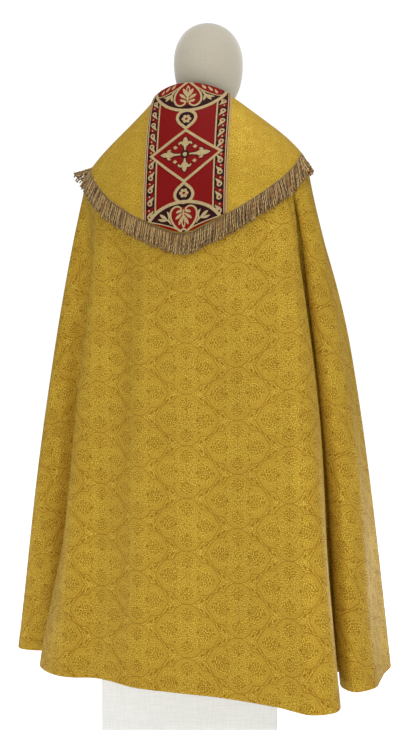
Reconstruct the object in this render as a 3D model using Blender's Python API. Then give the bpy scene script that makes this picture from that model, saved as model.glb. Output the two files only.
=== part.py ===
"""A cope on a headed, limbless display form that stands on a linen-covered block.

Units are metres. +Z is up, the wearer faces +Y, so the back is at -Y, and +X is the
wearer's right. The mantle is one half-disc of damask. Its neck edge stands round the
neck, it lies on the form's shoulders, and from there it hangs in folds to the hem.
"""
import bisect
import math

import bmesh
import bpy

# Cloth.
WALL = 0.002                    # the damask with its backing
SEAM_GAP = 0.0004               # between pieces that touch
LAY_GAP = 0.0009                # under the hood, the fringe and the clasp
BAND_GAP = 0.0024               # under the stiff orphrey
HOOD_WALL = 0.002
BAND_WALL = 0.0015              # the orphrey, an embroidered panel
BAND_HALF_WIDTH = 0.1000        # across the back, from its middle line
HOOD_TURN = 4.5                 # the middle line's turn, because the hood has slipped a little
BAND_END = 0.004                # the orphrey stops this far above the hood's edge
BAND_SPANS = 8                  # columns of its wall each side of the middle line
FRONT_OPENING = 2.2             # degrees either side of the middle front, between the edges

# The fringe on the hood's edge.
STRANDS_PER_SIDE = 66
STRIP_HEIGHT = 0.008
STRIP_THICKNESS = 0.0026
STRAND_LENGTH = 0.044
STRAND_TAPER = 0.75
TIP_LIFT = 0.0030               # the ends stand off the mantle by this much more

# Rings of the mantle. Heights are at the middle back, the sides and the middle front.
# "lean" is the slope, in degrees below level, at which the cloth leaves the neck edge.
RING_COLUMNS = ("half_width", "x", "y", "back", "front", "z_back", "z_side", "z_front", "square")
NECK_RING = (0.119, -0.012, 0.010, 0.102, 0.110, 1.508, 1.468, 1.345, 1.00)
SHOULDER_RING = (0.282, -0.014, -0.006, 0.172, 0.180, 1.200, 1.296, 1.215, 0.90)
LEAN_BACK, LEAN_SIDE, LEAN_FRONT = 62.0, 37.0, 52.0
NECK_PULL = 1.20                # how far the slope at the neck edge is felt down the cloth
SHOULDER_PULL = 0.62            # how far the hang is felt up the cloth
SHOULDER_HANG = 0.14            # metres out for each metre down, at the shoulder ring
FLARE_TOP, FLARE_HEM = 1.7, 0.75    # slopes of the flare under the shoulders and at the hem

# Hang lines of the mantle, from the left front edge round the back to the right one.
# "turn" is where a line leaves the shoulders, in degrees from the middle back, x, y and z
# are its end at the hem, and "steps" are the columns of the wall up to the next line.
HANG_COLUMNS = ("name", "turn", "x", "y", "z", "steps")
HANG_LINES = (
    ("left_front_edge", -177.8, -0.012, 0.286, 0.120, 2),
    ("left_front_middle", -164.0, -0.085, 0.298, 0.120, 2),
    ("left_front_lobe", -151.0, -0.152, 0.270, 0.120, 2),
    ("left_front_valley", -144.0, -0.158, 0.196, 0.122, 2),
    ("left_front_return", -138.0, -0.205, 0.190, 0.122, 2),
    ("left_second_lobe_in", -131.0, -0.232, 0.272, 0.122, 2),
    ("left_second_lobe", -122.0, -0.300, 0.292, 0.124, 2),
    ("left_second_lobe_out", -113.0, -0.346, 0.232, 0.126, 2),
    ("left_second_valley", -107.0, -0.340, 0.130, 0.124, 2),
    ("left_second_return", -101.0, -0.396, 0.118, 0.124, 2),
    ("left_side_in", -95.0, -0.440, 0.196, 0.124, 2),
    ("left_side_back", -87.0, -0.506, 0.150, 0.122, 3),
    ("left_side", -79.0, -0.518, 0.040, 0.119, 2),
    ("left_lobe_corner", -72.0, -0.480, -0.030, 0.118, 2),
    ("left_lobe_in", -67.0, -0.420, -0.034, 0.119, 2),
    ("left_valley_in", -63.0, -0.352, 0.016, 0.124, 2),
    ("left_valley", -60.0, -0.306, 0.000, 0.126, 2),
    ("left_valley_out", -56.0, -0.322, -0.080, 0.128, 2),
    ("left_panel_edge", -51.0, -0.358, -0.164, 0.126, 2),
    ("left_panel_corner", -45.0, -0.314, -0.222, 0.125, 2),
    ("left_panel", -36.0, -0.236, -0.260, 0.128, 2),
    ("left_panel_hollow", -26.0, -0.150, -0.274, 0.134, 2),
    ("left_middle", -12.0, -0.060, -0.294, 0.130, 2),
    ("middle_back", 2.0, 0.040, -0.292, 0.127, 3),
    ("right_middle", 17.0, 0.150, -0.290, 0.124, 3),
    ("right_panel", 31.0, 0.262, -0.300, 0.120, 2),
    ("right_panel_swell", 42.0, 0.338, -0.320, 0.116, 2),
    ("right_panel_corner", 49.0, 0.384, -0.294, 0.118, 2),
    ("right_panel_return", 54.0, 0.376, -0.205, 0.120, 2),
    ("right_valley_in", 58.0, 0.330, -0.090, 0.120, 2),
    ("right_valley", 62.0, 0.296, 0.005, 0.120, 2),
    ("right_valley_out", 67.0, 0.336, 0.010, 0.118, 2),
    ("right_lobe_in", 71.0, 0.362, -0.070, 0.114, 2),
    ("right_lobe", 77.0, 0.406, -0.118, 0.112, 2),
    ("right_lobe_corner", 83.0, 0.444, -0.078, 0.112, 2),
    ("right_side", 91.0, 0.444, 0.030, 0.116, 3),
    ("right_side_front", 99.0, 0.430, 0.140, 0.118, 2),
    ("right_second_return", 104.0, 0.378, 0.176, 0.120, 2),
    ("right_second_valley", 109.0, 0.326, 0.108, 0.120, 2),
    ("right_second_lobe_in", 115.0, 0.300, 0.196, 0.120, 2),
    ("right_second_lobe", 122.0, 0.282, 0.282, 0.120, 2),
    ("right_second_lobe_out", 131.0, 0.222, 0.270, 0.120, 2),
    ("right_front_return", 138.0, 0.204, 0.188, 0.120, 2),
    ("right_front_valley", 144.0, 0.158, 0.192, 0.120, 2),
    ("right_front_lobe", 151.0, 0.150, 0.270, 0.120, 2),
    ("right_front_middle", 164.0, 0.085, 0.298, 0.120, 2),
    ("right_front_edge", 177.8, 0.012, 0.286, 0.120, 0),
)
LEVEL_STEP, WALK_END = 0.02, 1.40   # how finely, and how far down, the cloth is walked
SHOULDER_LEVELS = (0.0, 0.10, 0.24, 0.42, 0.61, 0.81, 1.0)
HANG_LEVELS = (0.05, 0.12, 0.22, 0.35, 0.50, 0.66, 0.83, 1.0)

# The hood's lower edge: how far down the cloth it reaches from the neck edge.
HOOD_COLUMNS = ("name", "turn", "reach")
HOOD_EDGE = (
    ("left_end", -150.0, 0.020),
    ("left_breast", -128.0, 0.108),
    ("left_shoulder_front", -108.0, 0.176),
    ("left_shoulder", -88.0, 0.204),
    ("left_blade", -60.0, 0.236),
    ("left_back", -30.0, 0.303),
    ("left_of_tip", -6.0, 0.364),
    ("tip", 4.5, 0.383),
    ("right_of_tip", 15.0, 0.362),
    ("right_back", 36.0, 0.315),
    ("right_blade", 64.0, 0.250),
    ("right_shoulder", 88.0, 0.202),
    ("right_shoulder_front", 108.0, 0.172),
    ("right_breast", 128.0, 0.108),
    ("right_end", 150.0, 0.020),
)

# The display form: head and neck rings are level ellipses, listed from the crown down.
HEAD_X = 0.006                  # the head sits a little to the wearer's right
HEAD_COLUMNS = ("name", "z", "half_width", "half_depth", "y")
CROWN_Z = 1.686
HEAD_ROWS = (
    ("crown", 1.682, 0.027, 0.031, 0.030),
    ("upper_skull", 1.669, 0.051, 0.059, 0.030),
    ("skull", 1.649, 0.069, 0.080, 0.030),
    ("temples", 1.624, 0.080, 0.094, 0.030),
    ("ears", 1.595, 0.084, 0.099, 0.030),
    ("cheeks", 1.560, 0.082, 0.096, 0.030),
    ("jaw", 1.528, 0.075, 0.086, 0.029),
    ("under_jaw", 1.500, 0.064, 0.072, 0.024),
    ("neck", 1.472, 0.057, 0.061, 0.016),
    ("neck_foot", 1.446, 0.060, 0.064, 0.008),
)
FORM_LEVELS = (0.24, 0.42, 0.61, 0.81)     # where the form's shoulders carry the cloth
COLLAR_LEVEL, COLLAR_DEPTH = 0.10, 0.026    # the form's neck stands this far inside the cloth
TORSO_ROWS = (
    ("armpit", 1.180, 0.208, 0.126, 0.000),
    ("chest", 1.080, 0.180, 0.118, 0.002),
    ("waist", 0.960, 0.142, 0.102, 0.004),
    ("hips", 0.860, 0.158, 0.112, 0.004),
    ("foot", 0.815, 0.150, 0.106, 0.004),
)
FORM_SIDES = 44
SEAT_GAP = 0.0014               # under the cloth, at the corners of the form's faces

# The pole and the block.
POLE_RADIUS = 0.016
POLE_PLATE_RADIUS = 0.070
POLE_PLATE = 0.006
POLE_SIDES = 24
BLOCK_WIDTH, BLOCK_DEPTH, BLOCK_HEIGHT = 0.405, 0.340, 0.300
BLOCK_X, BLOCK_Y = -0.031, 0.000
BLOCK_TURN = 18.0               # degrees, about +Z
BLOCK_EDGE = 0.003

# The clasp at the breast: a plate on each front edge and a bar across both.
PLATE_TURN, PLATE_DROP = 16.0, 0.040        # degrees along the neck edge, metres down
PLATE_INSET = 0.6                           # degrees in from the cloth's edge
PLATE_TOP = 0.006                           # metres down from the neck edge
PLATE_THICKNESS = 0.0022
PLATE_SPANS = 3
BAR_TURN = 7.0                              # degrees either side of the middle front
BAR_TOP, BAR_FOOT = 0.07, 0.12              # levels of the cloth
BAR_THICKNESS = 0.0025

GOLD_DAMASK = ((0.52, 0.34, 0.08), 0.55, 0.0)
RED_ORPHREY = ((0.24, 0.02, 0.02), 0.70, 0.0)
ANTIQUE_GOLD = ((0.42, 0.30, 0.15), 0.60, 0.0)
FORM_LINEN = ((0.52, 0.49, 0.42), 0.90, 0.0)
BLOCK_LINEN = ((0.72, 0.72, 0.70), 0.90, 0.0)
BRASS = ((0.75, 0.55, 0.22), 0.30, 1.0)
PAINTED_STEEL = ((0.75, 0.75, 0.73), 0.40, 0.0)


HOOD_LOW = WALL / 2 + LAY_GAP   # above the mantle's middle surface
HOOD_HIGH = HOOD_LOW + HOOD_WALL


def clear_scene():
    """Remove every object of the open file."""
    for old in list(bpy.data.objects):
        bpy.data.objects.remove(old, do_unlink=True)


def rows_of(columns, rows):
    """A table as dictionaries, one for each row, keyed by the names of its columns."""
    return [dict(zip(columns, row)) for row in rows]


def add(a, b, times=1.0):
    """The point a, moved by b times a number."""
    return tuple(p + q * times for p, q in zip(a, b))


def mix(a, b, share):
    """The point that lies a share of the way from a to b."""
    return tuple(p + (q - p) * share for p, q in zip(a, b))


def cross(a, b):
    return (a[1] * b[2] - a[2] * b[1], a[2] * b[0] - a[0] * b[2], a[0] * b[1] - a[1] * b[0])


def unit(a):
    length = math.sqrt(sum(p * p for p in a))
    return tuple(p / length for p in a)


class Curve:
    """A smooth curve through values at rising knots."""

    def __init__(self, knots, values, monotone=False):
        self.knots, self.values = knots, values
        widths = [b - a for a, b in zip(knots, knots[1:])]
        slopes = [(b - a) / width for a, b, width in zip(values, values[1:], widths)]
        self.tangents = [slopes[0]]
        for before, after, into, out in zip(widths, widths[1:], slopes, slopes[1:]):
            if not monotone:
                self.tangents.append((into * after + out * before) / (before + after))
            elif into * out <= 0.0:
                self.tangents.append(0.0)
            else:
                self.tangents.append(2.0 * into * out / (into + out))
        self.tangents.append(slopes[-1])

    def at(self, place):
        """The value at a place between the first knot and the last."""
        span = min(max(bisect.bisect_right(self.knots, place) - 1, 0), len(self.knots) - 2)
        width = self.knots[span + 1] - self.knots[span]
        t = (place - self.knots[span]) / width
        rise = 3 * t ** 2 - 2 * t ** 3
        return (self.values[span] * (1 - rise) + self.values[span + 1] * rise
                + self.tangents[span] * width * (t ** 3 - 2 * t ** 2 + t)
                + self.tangents[span + 1] * width * (t ** 3 - t ** 2))


HOOD_REACH = Curve([row[1] for row in HOOD_EDGE], [row[2] for row in HOOD_EDGE], monotone=True)


def ring_point(ring, turn):
    """The point of a mantle ring at a turn in degrees from the middle back."""
    row = dict(zip(RING_COLUMNS, ring))
    sine, cosine = math.sin(math.radians(turn)), math.cos(math.radians(turn))
    x = row["x"] + row["half_width"] * math.copysign(abs(sine) ** row["square"], sine)
    depth, z_end = (row["back"], row["z_back"]) if cosine > 0.0 else (row["front"], row["z_front"])
    y = row["y"] - depth * math.copysign(abs(cosine) ** row["square"], cosine)
    return (x, y, row["z_side"] + (z_end - row["z_side"]) * cosine * cosine)


def flare(share):
    """How much of the way out to the hem a hang line has gone at a share of its drop."""
    t = share
    return (FLARE_TOP * (t - 2 * t ** 2 + t ** 3) + 3 * t ** 2 - 2 * t ** 3
            + FLARE_HEM * (t ** 3 - t ** 2))


def lean_at(turn):
    """The slope of the cloth at the neck edge, in degrees below level."""
    cosine = math.cos(math.radians(turn))
    end = LEAN_BACK if cosine > 0.0 else LEAN_FRONT
    return LEAN_SIDE + (end - LEAN_SIDE) * cosine * cosine


class Mantle:
    """The middle surface of the mantle, read at a place along the hem and a level.

    Levels run from 0 at the neck edge through 1 at the shoulder ring to 2 at the hem.
    """

    def __init__(self):
        rows = rows_of(HANG_COLUMNS, HANG_LINES)
        self.along = [0.0]
        for a, b in zip(rows, rows[1:]):
            self.along.append(self.along[-1] + math.dist((a["x"], a["y"]), (b["x"], b["y"])))
        self.turns = Curve(self.along, [row["turn"] for row in rows], monotone=True)
        self.hem = [Curve(self.along, [row[axis] for row in rows]) for axis in "xyz"]
        self.columns = []
        for row, start, end in zip(rows, self.along, self.along[1:]):
            for step in range(row["steps"]):
                self.columns.append(start + (end - start) * step / row["steps"])
        self.columns.append(self.along[-1])
        self.walks = {}

    def turn(self, place):
        return self.turns.at(place)

    def place(self, turn):
        """The place along the hem whose line leaves the shoulders at a turn."""
        low, high = 0.0, self.along[-1]
        for _ in range(40):
            middle = (low + high) / 2
            if self.turn(middle) < turn:
                low = middle
            else:
                high = middle
        return (low + high) / 2

    def hem_point(self, place):
        return tuple(curve.at(place) for curve in self.hem)

    def point(self, place, level):
        turn = self.turn(place)
        shoulder, hem = ring_point(SHOULDER_RING, turn), self.hem_point(place)
        way_out = (hem[0] - shoulder[0], hem[1] - shoulder[1])
        drop = shoulder[2] - hem[2]
        if level > 1.0:
            out = flare(level - 1.0)
            return (shoulder[0] + way_out[0] * out, shoulder[1] + way_out[1] * out,
                    shoulder[2] - drop * (level - 1.0))
        return shoulder_point(turn, level)

    def normal(self, place, level):
        """The direction out of the cloth."""
        step_along, step_down = 0.002, 0.01
        before = self.point(max(place - step_along, 0.0), level)
        after = self.point(min(place + step_along, self.along[-1]), level)
        above = self.point(place, max(level - step_down, 0.0))
        below = self.point(place, min(level + step_down, 2.0))
        return unit(cross(add(below, above, -1.0), add(after, before, -1.0)))

    def lifted(self, place, level, lift):
        """A point that lies a lift above the middle surface."""
        return add(self.point(place, level), self.normal(place, level), lift)

    def level_at(self, place, reach):
        """The level that lies a reach down the cloth from the neck edge."""
        if place not in self.walks:
            levels = [step * LEVEL_STEP for step in range(round(WALK_END / LEVEL_STEP) + 1)]
            points = [self.point(place, level) for level in levels]
            walked = [0.0]
            for a, b in zip(points, points[1:]):
                walked.append(walked[-1] + math.dist(a, b))
            self.walks[place] = walked
        walked = self.walks[place]
        step = min(max(bisect.bisect_right(walked, reach) - 1, 0), len(walked) - 2)
        share = (reach - walked[step]) / (walked[step + 1] - walked[step])
        return (step + share) * LEVEL_STEP


def shoulder_point(turn, level):
    """The cloth between the neck edge, level 0, and the shoulder ring, level 1."""
    neck, shoulder = ring_point(NECK_RING, turn), ring_point(SHOULDER_RING, turn)
    outward = unit((shoulder[0] - neck[0], shoulder[1] - neck[1], 0.0))
    lean = math.radians(lean_at(turn))
    leave = (outward[0] * math.cos(lean), outward[1] * math.cos(lean), -math.sin(lean))
    arrive = unit((outward[0] * SHOULDER_HANG, outward[1] * SHOULDER_HANG, -1.0))
    t = level
    weights = (2 * t ** 3 - 3 * t ** 2 + 1, t ** 3 - 2 * t ** 2 + t,
               3 * t ** 2 - 2 * t ** 3, t ** 3 - t ** 2)
    span = math.dist(neck, shoulder)
    pulls = (NECK_PULL * span, SHOULDER_PULL * span)
    return tuple(n * weights[0] + out * pulls[0] * weights[1] + s * weights[2]
                 + down * pulls[1] * weights[3]
                 for n, out, s, down in zip(neck, leave, shoulder, arrive))


def shoulder_lifted(turn, level, lift):
    """A point a lift above the cloth of the shoulders, also across the front opening."""
    down = add(shoulder_point(turn, min(level + 0.01, 1.0)),
               shoulder_point(turn, max(level - 0.01, 0.0)), -1.0)
    along = add(shoulder_point(turn + 0.5, level), shoulder_point(turn - 0.5, level), -1.0)
    return add(shoulder_point(turn, level), unit(cross(down, along)), lift)


def material(name, finish):
    """A plain material from a colour, a roughness and a metallic value."""
    colour, roughness, metallic = finish
    made = bpy.data.materials.new(name)
    made.use_nodes = True
    shader = made.node_tree.nodes["Principled BSDF"]
    shader.inputs["Base Color"].default_value = (*colour, 1.0)
    shader.inputs["Roughness"].default_value = roughness
    shader.inputs["Metallic"].default_value = metallic
    return made


def add_object(name, mesh_data, finish, sharp=40.0):
    """Put a bmesh into the scene as a named object with its own material."""
    bmesh.ops.remove_doubles(mesh_data, verts=mesh_data.verts, dist=0.00002)
    bmesh.ops.triangulate(mesh_data, faces=mesh_data.faces)
    mesh = bpy.data.meshes.new(name)
    mesh_data.to_mesh(mesh)
    mesh_data.free()
    mesh.shade_smooth()
    mesh.set_sharp_from_angle(angle=math.radians(sharp))
    made = bpy.data.objects.new(name, mesh)
    mesh.materials.append(material(name, finish))
    bpy.context.scene.collection.objects.link(made)
    return made


def face(mesh_data, *corners):
    """A face, or nothing where two of its corners are the same place."""
    kept = []
    for corner in corners:
        if all((corner.co - other.co).length > 0.00002 for other in kept):
            kept.append(corner)
    if len(kept) > 2:
        mesh_data.faces.new(kept)


def wall(outer, inner):
    """A closed wall between two grids of points, each a list of rows from the top down."""
    made = bmesh.new()
    out = [[made.verts.new(p) for p in row] for row in outer]
    inn = [[made.verts.new(p) for p in row] for row in inner]
    rows, columns = len(out), len(out[0])
    for r in range(rows - 1):
        for c in range(columns - 1):
            face(made, out[r][c], out[r + 1][c], out[r + 1][c + 1])
            face(made, out[r][c], out[r + 1][c + 1], out[r][c + 1])
            face(made, inn[r][c], inn[r + 1][c + 1], inn[r + 1][c])
            face(made, inn[r][c], inn[r][c + 1], inn[r + 1][c + 1])
    for c in range(columns - 1):
        face(made, out[0][c], out[0][c + 1], inn[0][c + 1], inn[0][c])
        face(made, out[-1][c + 1], out[-1][c], inn[-1][c], inn[-1][c + 1])
    for r in range(rows - 1):
        face(made, out[r + 1][0], out[r][0], inn[r][0], inn[r + 1][0])
        face(made, out[r][-1], out[r + 1][-1], inn[r + 1][-1], inn[r][-1])
    return made


def sheet_wall(mantle, places_and_levels, low, high):
    """A wall over the mantle between two lifts, from a grid of places and levels."""
    outer = [[mantle.lifted(place, level, high) for place, level in row]
             for row in places_and_levels]
    inner = [[mantle.lifted(place, level, low) for place, level in row]
             for row in places_and_levels]
    return wall(outer, inner)


def all_levels():
    return list(SHOULDER_LEVELS) + [1.0 + share for share in HANG_LEVELS]


def make_mantle(mantle):
    """The half-disc of damask."""
    grid = [[(place, level) for place in mantle.columns] for level in all_levels()]
    return add_object("mantle", sheet_wall(mantle, grid, -WALL / 2, WALL / 2), GOLD_DAMASK)


def hood_reach(turn):
    """How far down the cloth the hood's edge lies at a turn."""
    return HOOD_REACH.at(min(max(turn, HOOD_EDGE[0][1]), HOOD_EDGE[-1][1]))


def clipped_levels(edge_level, least=0.015):
    """The mantle's own levels down to an edge, then the edge for all the rest."""
    levels = all_levels()
    return [level if level < edge_level - least else edge_level for level in levels]


def make_hood(mantle):
    """The shield-shaped hood, which lies on the mantle from breast to breast."""
    ends = (HOOD_EDGE[0][1], HOOD_EDGE[-1][1])
    places = [mantle.place(ends[0])]
    places += [p for p in mantle.columns if ends[0] + 1.0 < mantle.turn(p) < ends[1] - 1.0]
    places.append(mantle.place(ends[1]))
    edges = [clipped_levels(mantle.level_at(p, hood_reach(mantle.turn(p)))) for p in places]
    deepest = max(sum(level < edge[-1] for level in edge) for edge in edges) + 1
    grid = [[(p, edge[row]) for p, edge in zip(places, edges)] for row in range(deepest)]
    return add_object("hood", sheet_wall(mantle, grid, HOOD_LOW, HOOD_HIGH), GOLD_DAMASK)


def place_across(mantle, level, distance):
    """The place that lies a distance across the back, along the cloth, at a level."""
    middle = mantle.place(HOOD_TURN)
    step = math.copysign(0.004, distance)
    place, walked, here = middle, 0.0, mantle.point(middle, level)
    while True:
        there = mantle.point(place + step, level)
        stretch = math.dist(here, there)
        if walked + stretch >= abs(distance):
            return place + step * (abs(distance) - walked) / stretch
        place, walked, here = place + step, walked + stretch, there


def make_orphrey(mantle):
    """The orphrey panel down the middle of the hood."""
    columns = []
    for step in range(-BAND_SPANS, BAND_SPANS + 1):
        distance = BAND_HALF_WIDTH * step / BAND_SPANS
        edge = 1.0
        for _ in range(4):
            place = place_across(mantle, edge, distance)
            edge = mantle.level_at(place, hood_reach(mantle.turn(place)) - BAND_END)
        levels = clipped_levels(edge)
        columns.append([(place_across(mantle, level, distance), level) for level in levels])
    deepest = max(sum(level < column[-1][1] for _, level in column) for column in columns) + 1
    grid = [[column[row] for column in columns] for row in range(deepest)]
    low = HOOD_HIGH + BAND_GAP
    return add_object("orphrey", sheet_wall(mantle, grid, low, low + BAND_WALL), RED_ORPHREY)


def make_fringe(mantle):
    """The strip along the hood's edge and the strands that hang from it."""
    ends = (mantle.place(HOOD_EDGE[0][1] + 6.0), mantle.place(HOOD_EDGE[-1][1] - 6.0))
    # Cells of equal length along the edge, every second one the root of a strand.
    samples = [ends[0] + (ends[1] - ends[0]) * i / 600 for i in range(601)]
    reaches = [hood_reach(mantle.turn(p)) for p in samples]
    points = [mantle.point(p, mantle.level_at(p, r)) for p, r in zip(samples, reaches)]
    walked = [0.0]
    for a, b in zip(points, points[1:]):
        walked.append(walked[-1] + math.dist(a, b))
    cells = 4 * STRANDS_PER_SIDE + 1
    places = []
    index = 0
    for cell in range(cells + 1):
        goal = walked[-1] * cell / cells
        while index < len(walked) - 2 and walked[index + 1] < goal:
            index += 1
        share = (goal - walked[index]) / (walked[index + 1] - walked[index])
        places.append(samples[index] + (samples[index + 1] - samples[index]) * share)

    low, high = HOOD_LOW, HOOD_LOW + STRIP_THICKNESS
    made = bmesh.new()

    def corner(place, below, lift):
        reach = hood_reach(mantle.turn(place)) + below
        return made.verts.new(mantle.lifted(place, mantle.level_at(place, reach), lift))

    top_out = [corner(p, SEAM_GAP, high) for p in places]
    top_in = [corner(p, SEAM_GAP, low) for p in places]
    foot_out = [corner(p, STRIP_HEIGHT, high) for p in places]
    foot_in = [corner(p, STRIP_HEIGHT, low) for p in places]
    for c in range(cells):
        face(made, top_out[c], foot_out[c], foot_out[c + 1], top_out[c + 1])
        face(made, top_in[c], top_in[c + 1], foot_in[c + 1], foot_in[c])
        face(made, top_out[c], top_out[c + 1], top_in[c + 1], top_in[c])
        root = [foot_out[c], foot_in[c], foot_in[c + 1], foot_out[c + 1]]
        if c % 2 == 0:
            face(made, *root)
            continue
        for below, spread in ((0.5, 1.0), (1.0, STRAND_TAPER)):
            drop = STRIP_HEIGHT + STRAND_LENGTH * below
            lift = TIP_LIFT * below
            middle = (places[c] + places[c + 1]) / 2
            sides = [middle + (p - middle) * spread for p in (places[c], places[c + 1])]
            tip = [corner(sides[0], drop, high + lift), corner(sides[0], drop, low + lift),
                   corner(sides[1], drop, low + lift), corner(sides[1], drop, high + lift)]
            for i in range(4):
                j = (i + 1) % 4
                face(made, root[i], root[j], tip[j], tip[i])
            root = tip
        face(made, *root)
    face(made, top_out[0], top_in[0], foot_in[0], foot_out[0])
    face(made, top_out[-1], foot_out[-1], foot_in[-1], top_in[-1])
    return add_object("fringe", made, ANTIQUE_GOLD)


def stack_rings(rings, top, bottom):
    """A closed body from rings of points, listed from the top down, with its two ends."""
    made = bmesh.new()
    loops = [[made.verts.new(p) for p in ring] for ring in rings]
    first, last = made.verts.new(top), made.verts.new(bottom)
    sides = len(loops[0])
    for s in range(sides):
        n = (s + 1) % sides
        face(made, first, loops[0][s], loops[0][n])
        for upper, lower in zip(loops, loops[1:]):
            face(made, upper[s], lower[s], lower[n], upper[n])
        face(made, last, loops[-1][n], loops[-1][s])
    return made


def level_ring(row, x):
    """A level ellipse of the display form."""
    turns = [2 * math.pi * side / FORM_SIDES for side in range(FORM_SIDES)]
    return [(x + row["half_width"] * math.sin(t), row["y"] - row["half_depth"] * math.cos(t),
             row["z"]) for t in turns]


def seat_ring(level, depth):
    """A ring of the form's shoulders, a depth under the cloth that lies on them."""
    turns = [360.0 * side / FORM_SIDES for side in range(FORM_SIDES)]
    return [shoulder_lifted(turn, level, -WALL / 2 - depth) for turn in turns]


def make_form():
    """Head, neck and limbless torso in one padded piece."""
    head = [level_ring(row, HEAD_X) for row in rows_of(HEAD_COLUMNS, HEAD_ROWS)]
    seat = [seat_ring(COLLAR_LEVEL, COLLAR_DEPTH)]
    seat += [seat_ring(level, SEAT_GAP) for level in FORM_LEVELS]
    torso = [level_ring(row, 0.0) for row in rows_of(HEAD_COLUMNS, TORSO_ROWS)]
    foot = dict(zip(HEAD_COLUMNS, TORSO_ROWS[-1]))
    crown = (HEAD_X, HEAD_ROWS[0][4], CROWN_Z)
    made = stack_rings(head + seat + torso, crown, (0.0, foot["y"], foot["z"]))
    return add_object("form", made, FORM_LINEN)


def turned(profile, sides):
    """A body turned about the vertical axis from a profile listed from the top down."""
    rings = [[(radius * math.sin(2 * math.pi * s / sides), -radius * math.cos(2 * math.pi * s / sides),
               z) for s in range(sides)] for radius, z in profile]
    return stack_rings(rings, (0.0, 0.0, profile[0][1]), (0.0, 0.0, profile[-1][1]))


def make_pole():
    """The pole between the block and the form, with a plate at each end."""
    foot, head = BLOCK_HEIGHT + SEAM_GAP, TORSO_ROWS[-1][1] - SEAM_GAP
    profile = [(POLE_PLATE_RADIUS, head), (POLE_PLATE_RADIUS, head - POLE_PLATE),
               (POLE_RADIUS, head - POLE_PLATE), (POLE_RADIUS, foot + POLE_PLATE),
               (POLE_PLATE_RADIUS, foot + POLE_PLATE), (POLE_PLATE_RADIUS, foot)]
    return add_object("pole", turned(profile, POLE_SIDES), PAINTED_STEEL)


def make_block():
    """The linen-covered block, with softened edges."""
    made = bmesh.new()
    bmesh.ops.create_cube(made, size=1.0)
    bmesh.ops.scale(made, verts=made.verts, vec=(BLOCK_WIDTH, BLOCK_DEPTH, BLOCK_HEIGHT))
    bmesh.ops.bevel(made, geom=made.edges, offset=BLOCK_EDGE, segments=2, profile=0.5,
                    affect="EDGES")
    block = add_object("block", made, BLOCK_LINEN)
    block.location = (BLOCK_X, BLOCK_Y, BLOCK_HEIGHT / 2)
    block.rotation_euler = (0.0, 0.0, math.radians(BLOCK_TURN))
    return block


def make_clasp(mantle):
    """A plate on each front edge at the breast, and the bar that holds them together."""
    low = WALL / 2 + LAY_GAP
    high = low + PLATE_THICKNESS
    steps = [step / PLATE_SPANS for step in range(PLATE_SPANS + 1)]
    edge = 180.0 - FRONT_OPENING - PLATE_INSET
    for side, name in ((-1, "clasp_left"), (1, "clasp_right")):
        places = sorted(mantle.place(side * (edge - PLATE_TURN * step)) for step in steps)
        grid = [[(place, mantle.level_at(place, PLATE_TOP + PLATE_DROP * step))
                 for place in places] for step in steps]
        add_object(name, sheet_wall(mantle, grid, low, high), BRASS)
    turns = [180.0 + BAR_TURN * share for share in (-1.0, -0.5, 0.0, 0.5, 1.0)]
    bar = [[[shoulder_lifted(turn, level, high + gap) for turn in turns]
            for level in (BAR_TOP, BAR_FOOT)] for gap in (SEAM_GAP + BAR_THICKNESS, SEAM_GAP)]
    add_object("clasp_bar", wall(*bar), BRASS)


def stand_at_origin():
    """Move the whole part so that its footprint's middle is at the origin."""
    bpy.context.view_layer.update()
    made = list(bpy.data.objects)
    corners = [thing.matrix_world @ vertex.co for thing in made for vertex in thing.data.vertices]
    middle = [(min(c[axis] for c in corners) + max(c[axis] for c in corners)) / 2
              for axis in (0, 1)]
    for thing in made:
        thing.location.x -= middle[0]
        thing.location.y -= middle[1]


def main():
    clear_scene()
    mantle = Mantle()
    make_mantle(mantle)
    make_hood(mantle)
    make_orphrey(mantle)
    make_fringe(mantle)
    make_clasp(mantle)
    make_form()
    make_pole()
    make_block()
    stand_at_origin()


main()
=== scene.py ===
"""A cope on a headed, limbless display form: the finished pieces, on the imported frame.

The file is laid out as a Blender add-on and run as a script. Each operator makes one
piece, or a group of like pieces, from the same rings and hang lines as the part's source.
Units are metres. +Z is up, the wearer faces +Y and +X is the wearer's right.
"""
import math

import bpy
import numpy as np
from bpy.props import FloatProperty, FloatVectorProperty, IntProperty, PointerProperty
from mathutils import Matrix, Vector
from mathutils.geometry import delaunay_2d_cdt


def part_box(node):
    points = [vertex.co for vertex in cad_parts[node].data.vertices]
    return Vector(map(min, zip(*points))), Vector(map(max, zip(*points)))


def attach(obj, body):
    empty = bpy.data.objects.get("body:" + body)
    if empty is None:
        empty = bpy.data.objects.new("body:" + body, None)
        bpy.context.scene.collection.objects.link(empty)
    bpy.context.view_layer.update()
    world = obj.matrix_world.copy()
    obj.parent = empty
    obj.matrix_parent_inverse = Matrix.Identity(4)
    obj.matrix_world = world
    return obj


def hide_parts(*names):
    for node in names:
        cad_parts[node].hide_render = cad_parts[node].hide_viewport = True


bl_info = {
    "name": "Cope on a display form",
    "version": (1, 0, 0),
    "blender": (4, 5, 0),
    "location": "View3D > Sidebar > Cope",
    "description": "Makes the cope, its hood, orphrey, fringe and clasp, and the form under it",
    "category": "Object",
}

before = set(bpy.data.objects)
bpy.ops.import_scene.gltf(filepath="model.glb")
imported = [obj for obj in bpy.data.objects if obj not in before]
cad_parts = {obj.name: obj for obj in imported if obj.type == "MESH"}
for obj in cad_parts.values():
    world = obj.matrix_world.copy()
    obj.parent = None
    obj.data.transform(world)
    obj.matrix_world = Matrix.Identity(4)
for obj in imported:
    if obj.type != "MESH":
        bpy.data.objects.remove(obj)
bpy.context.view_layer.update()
POLE_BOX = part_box("pole")
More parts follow.
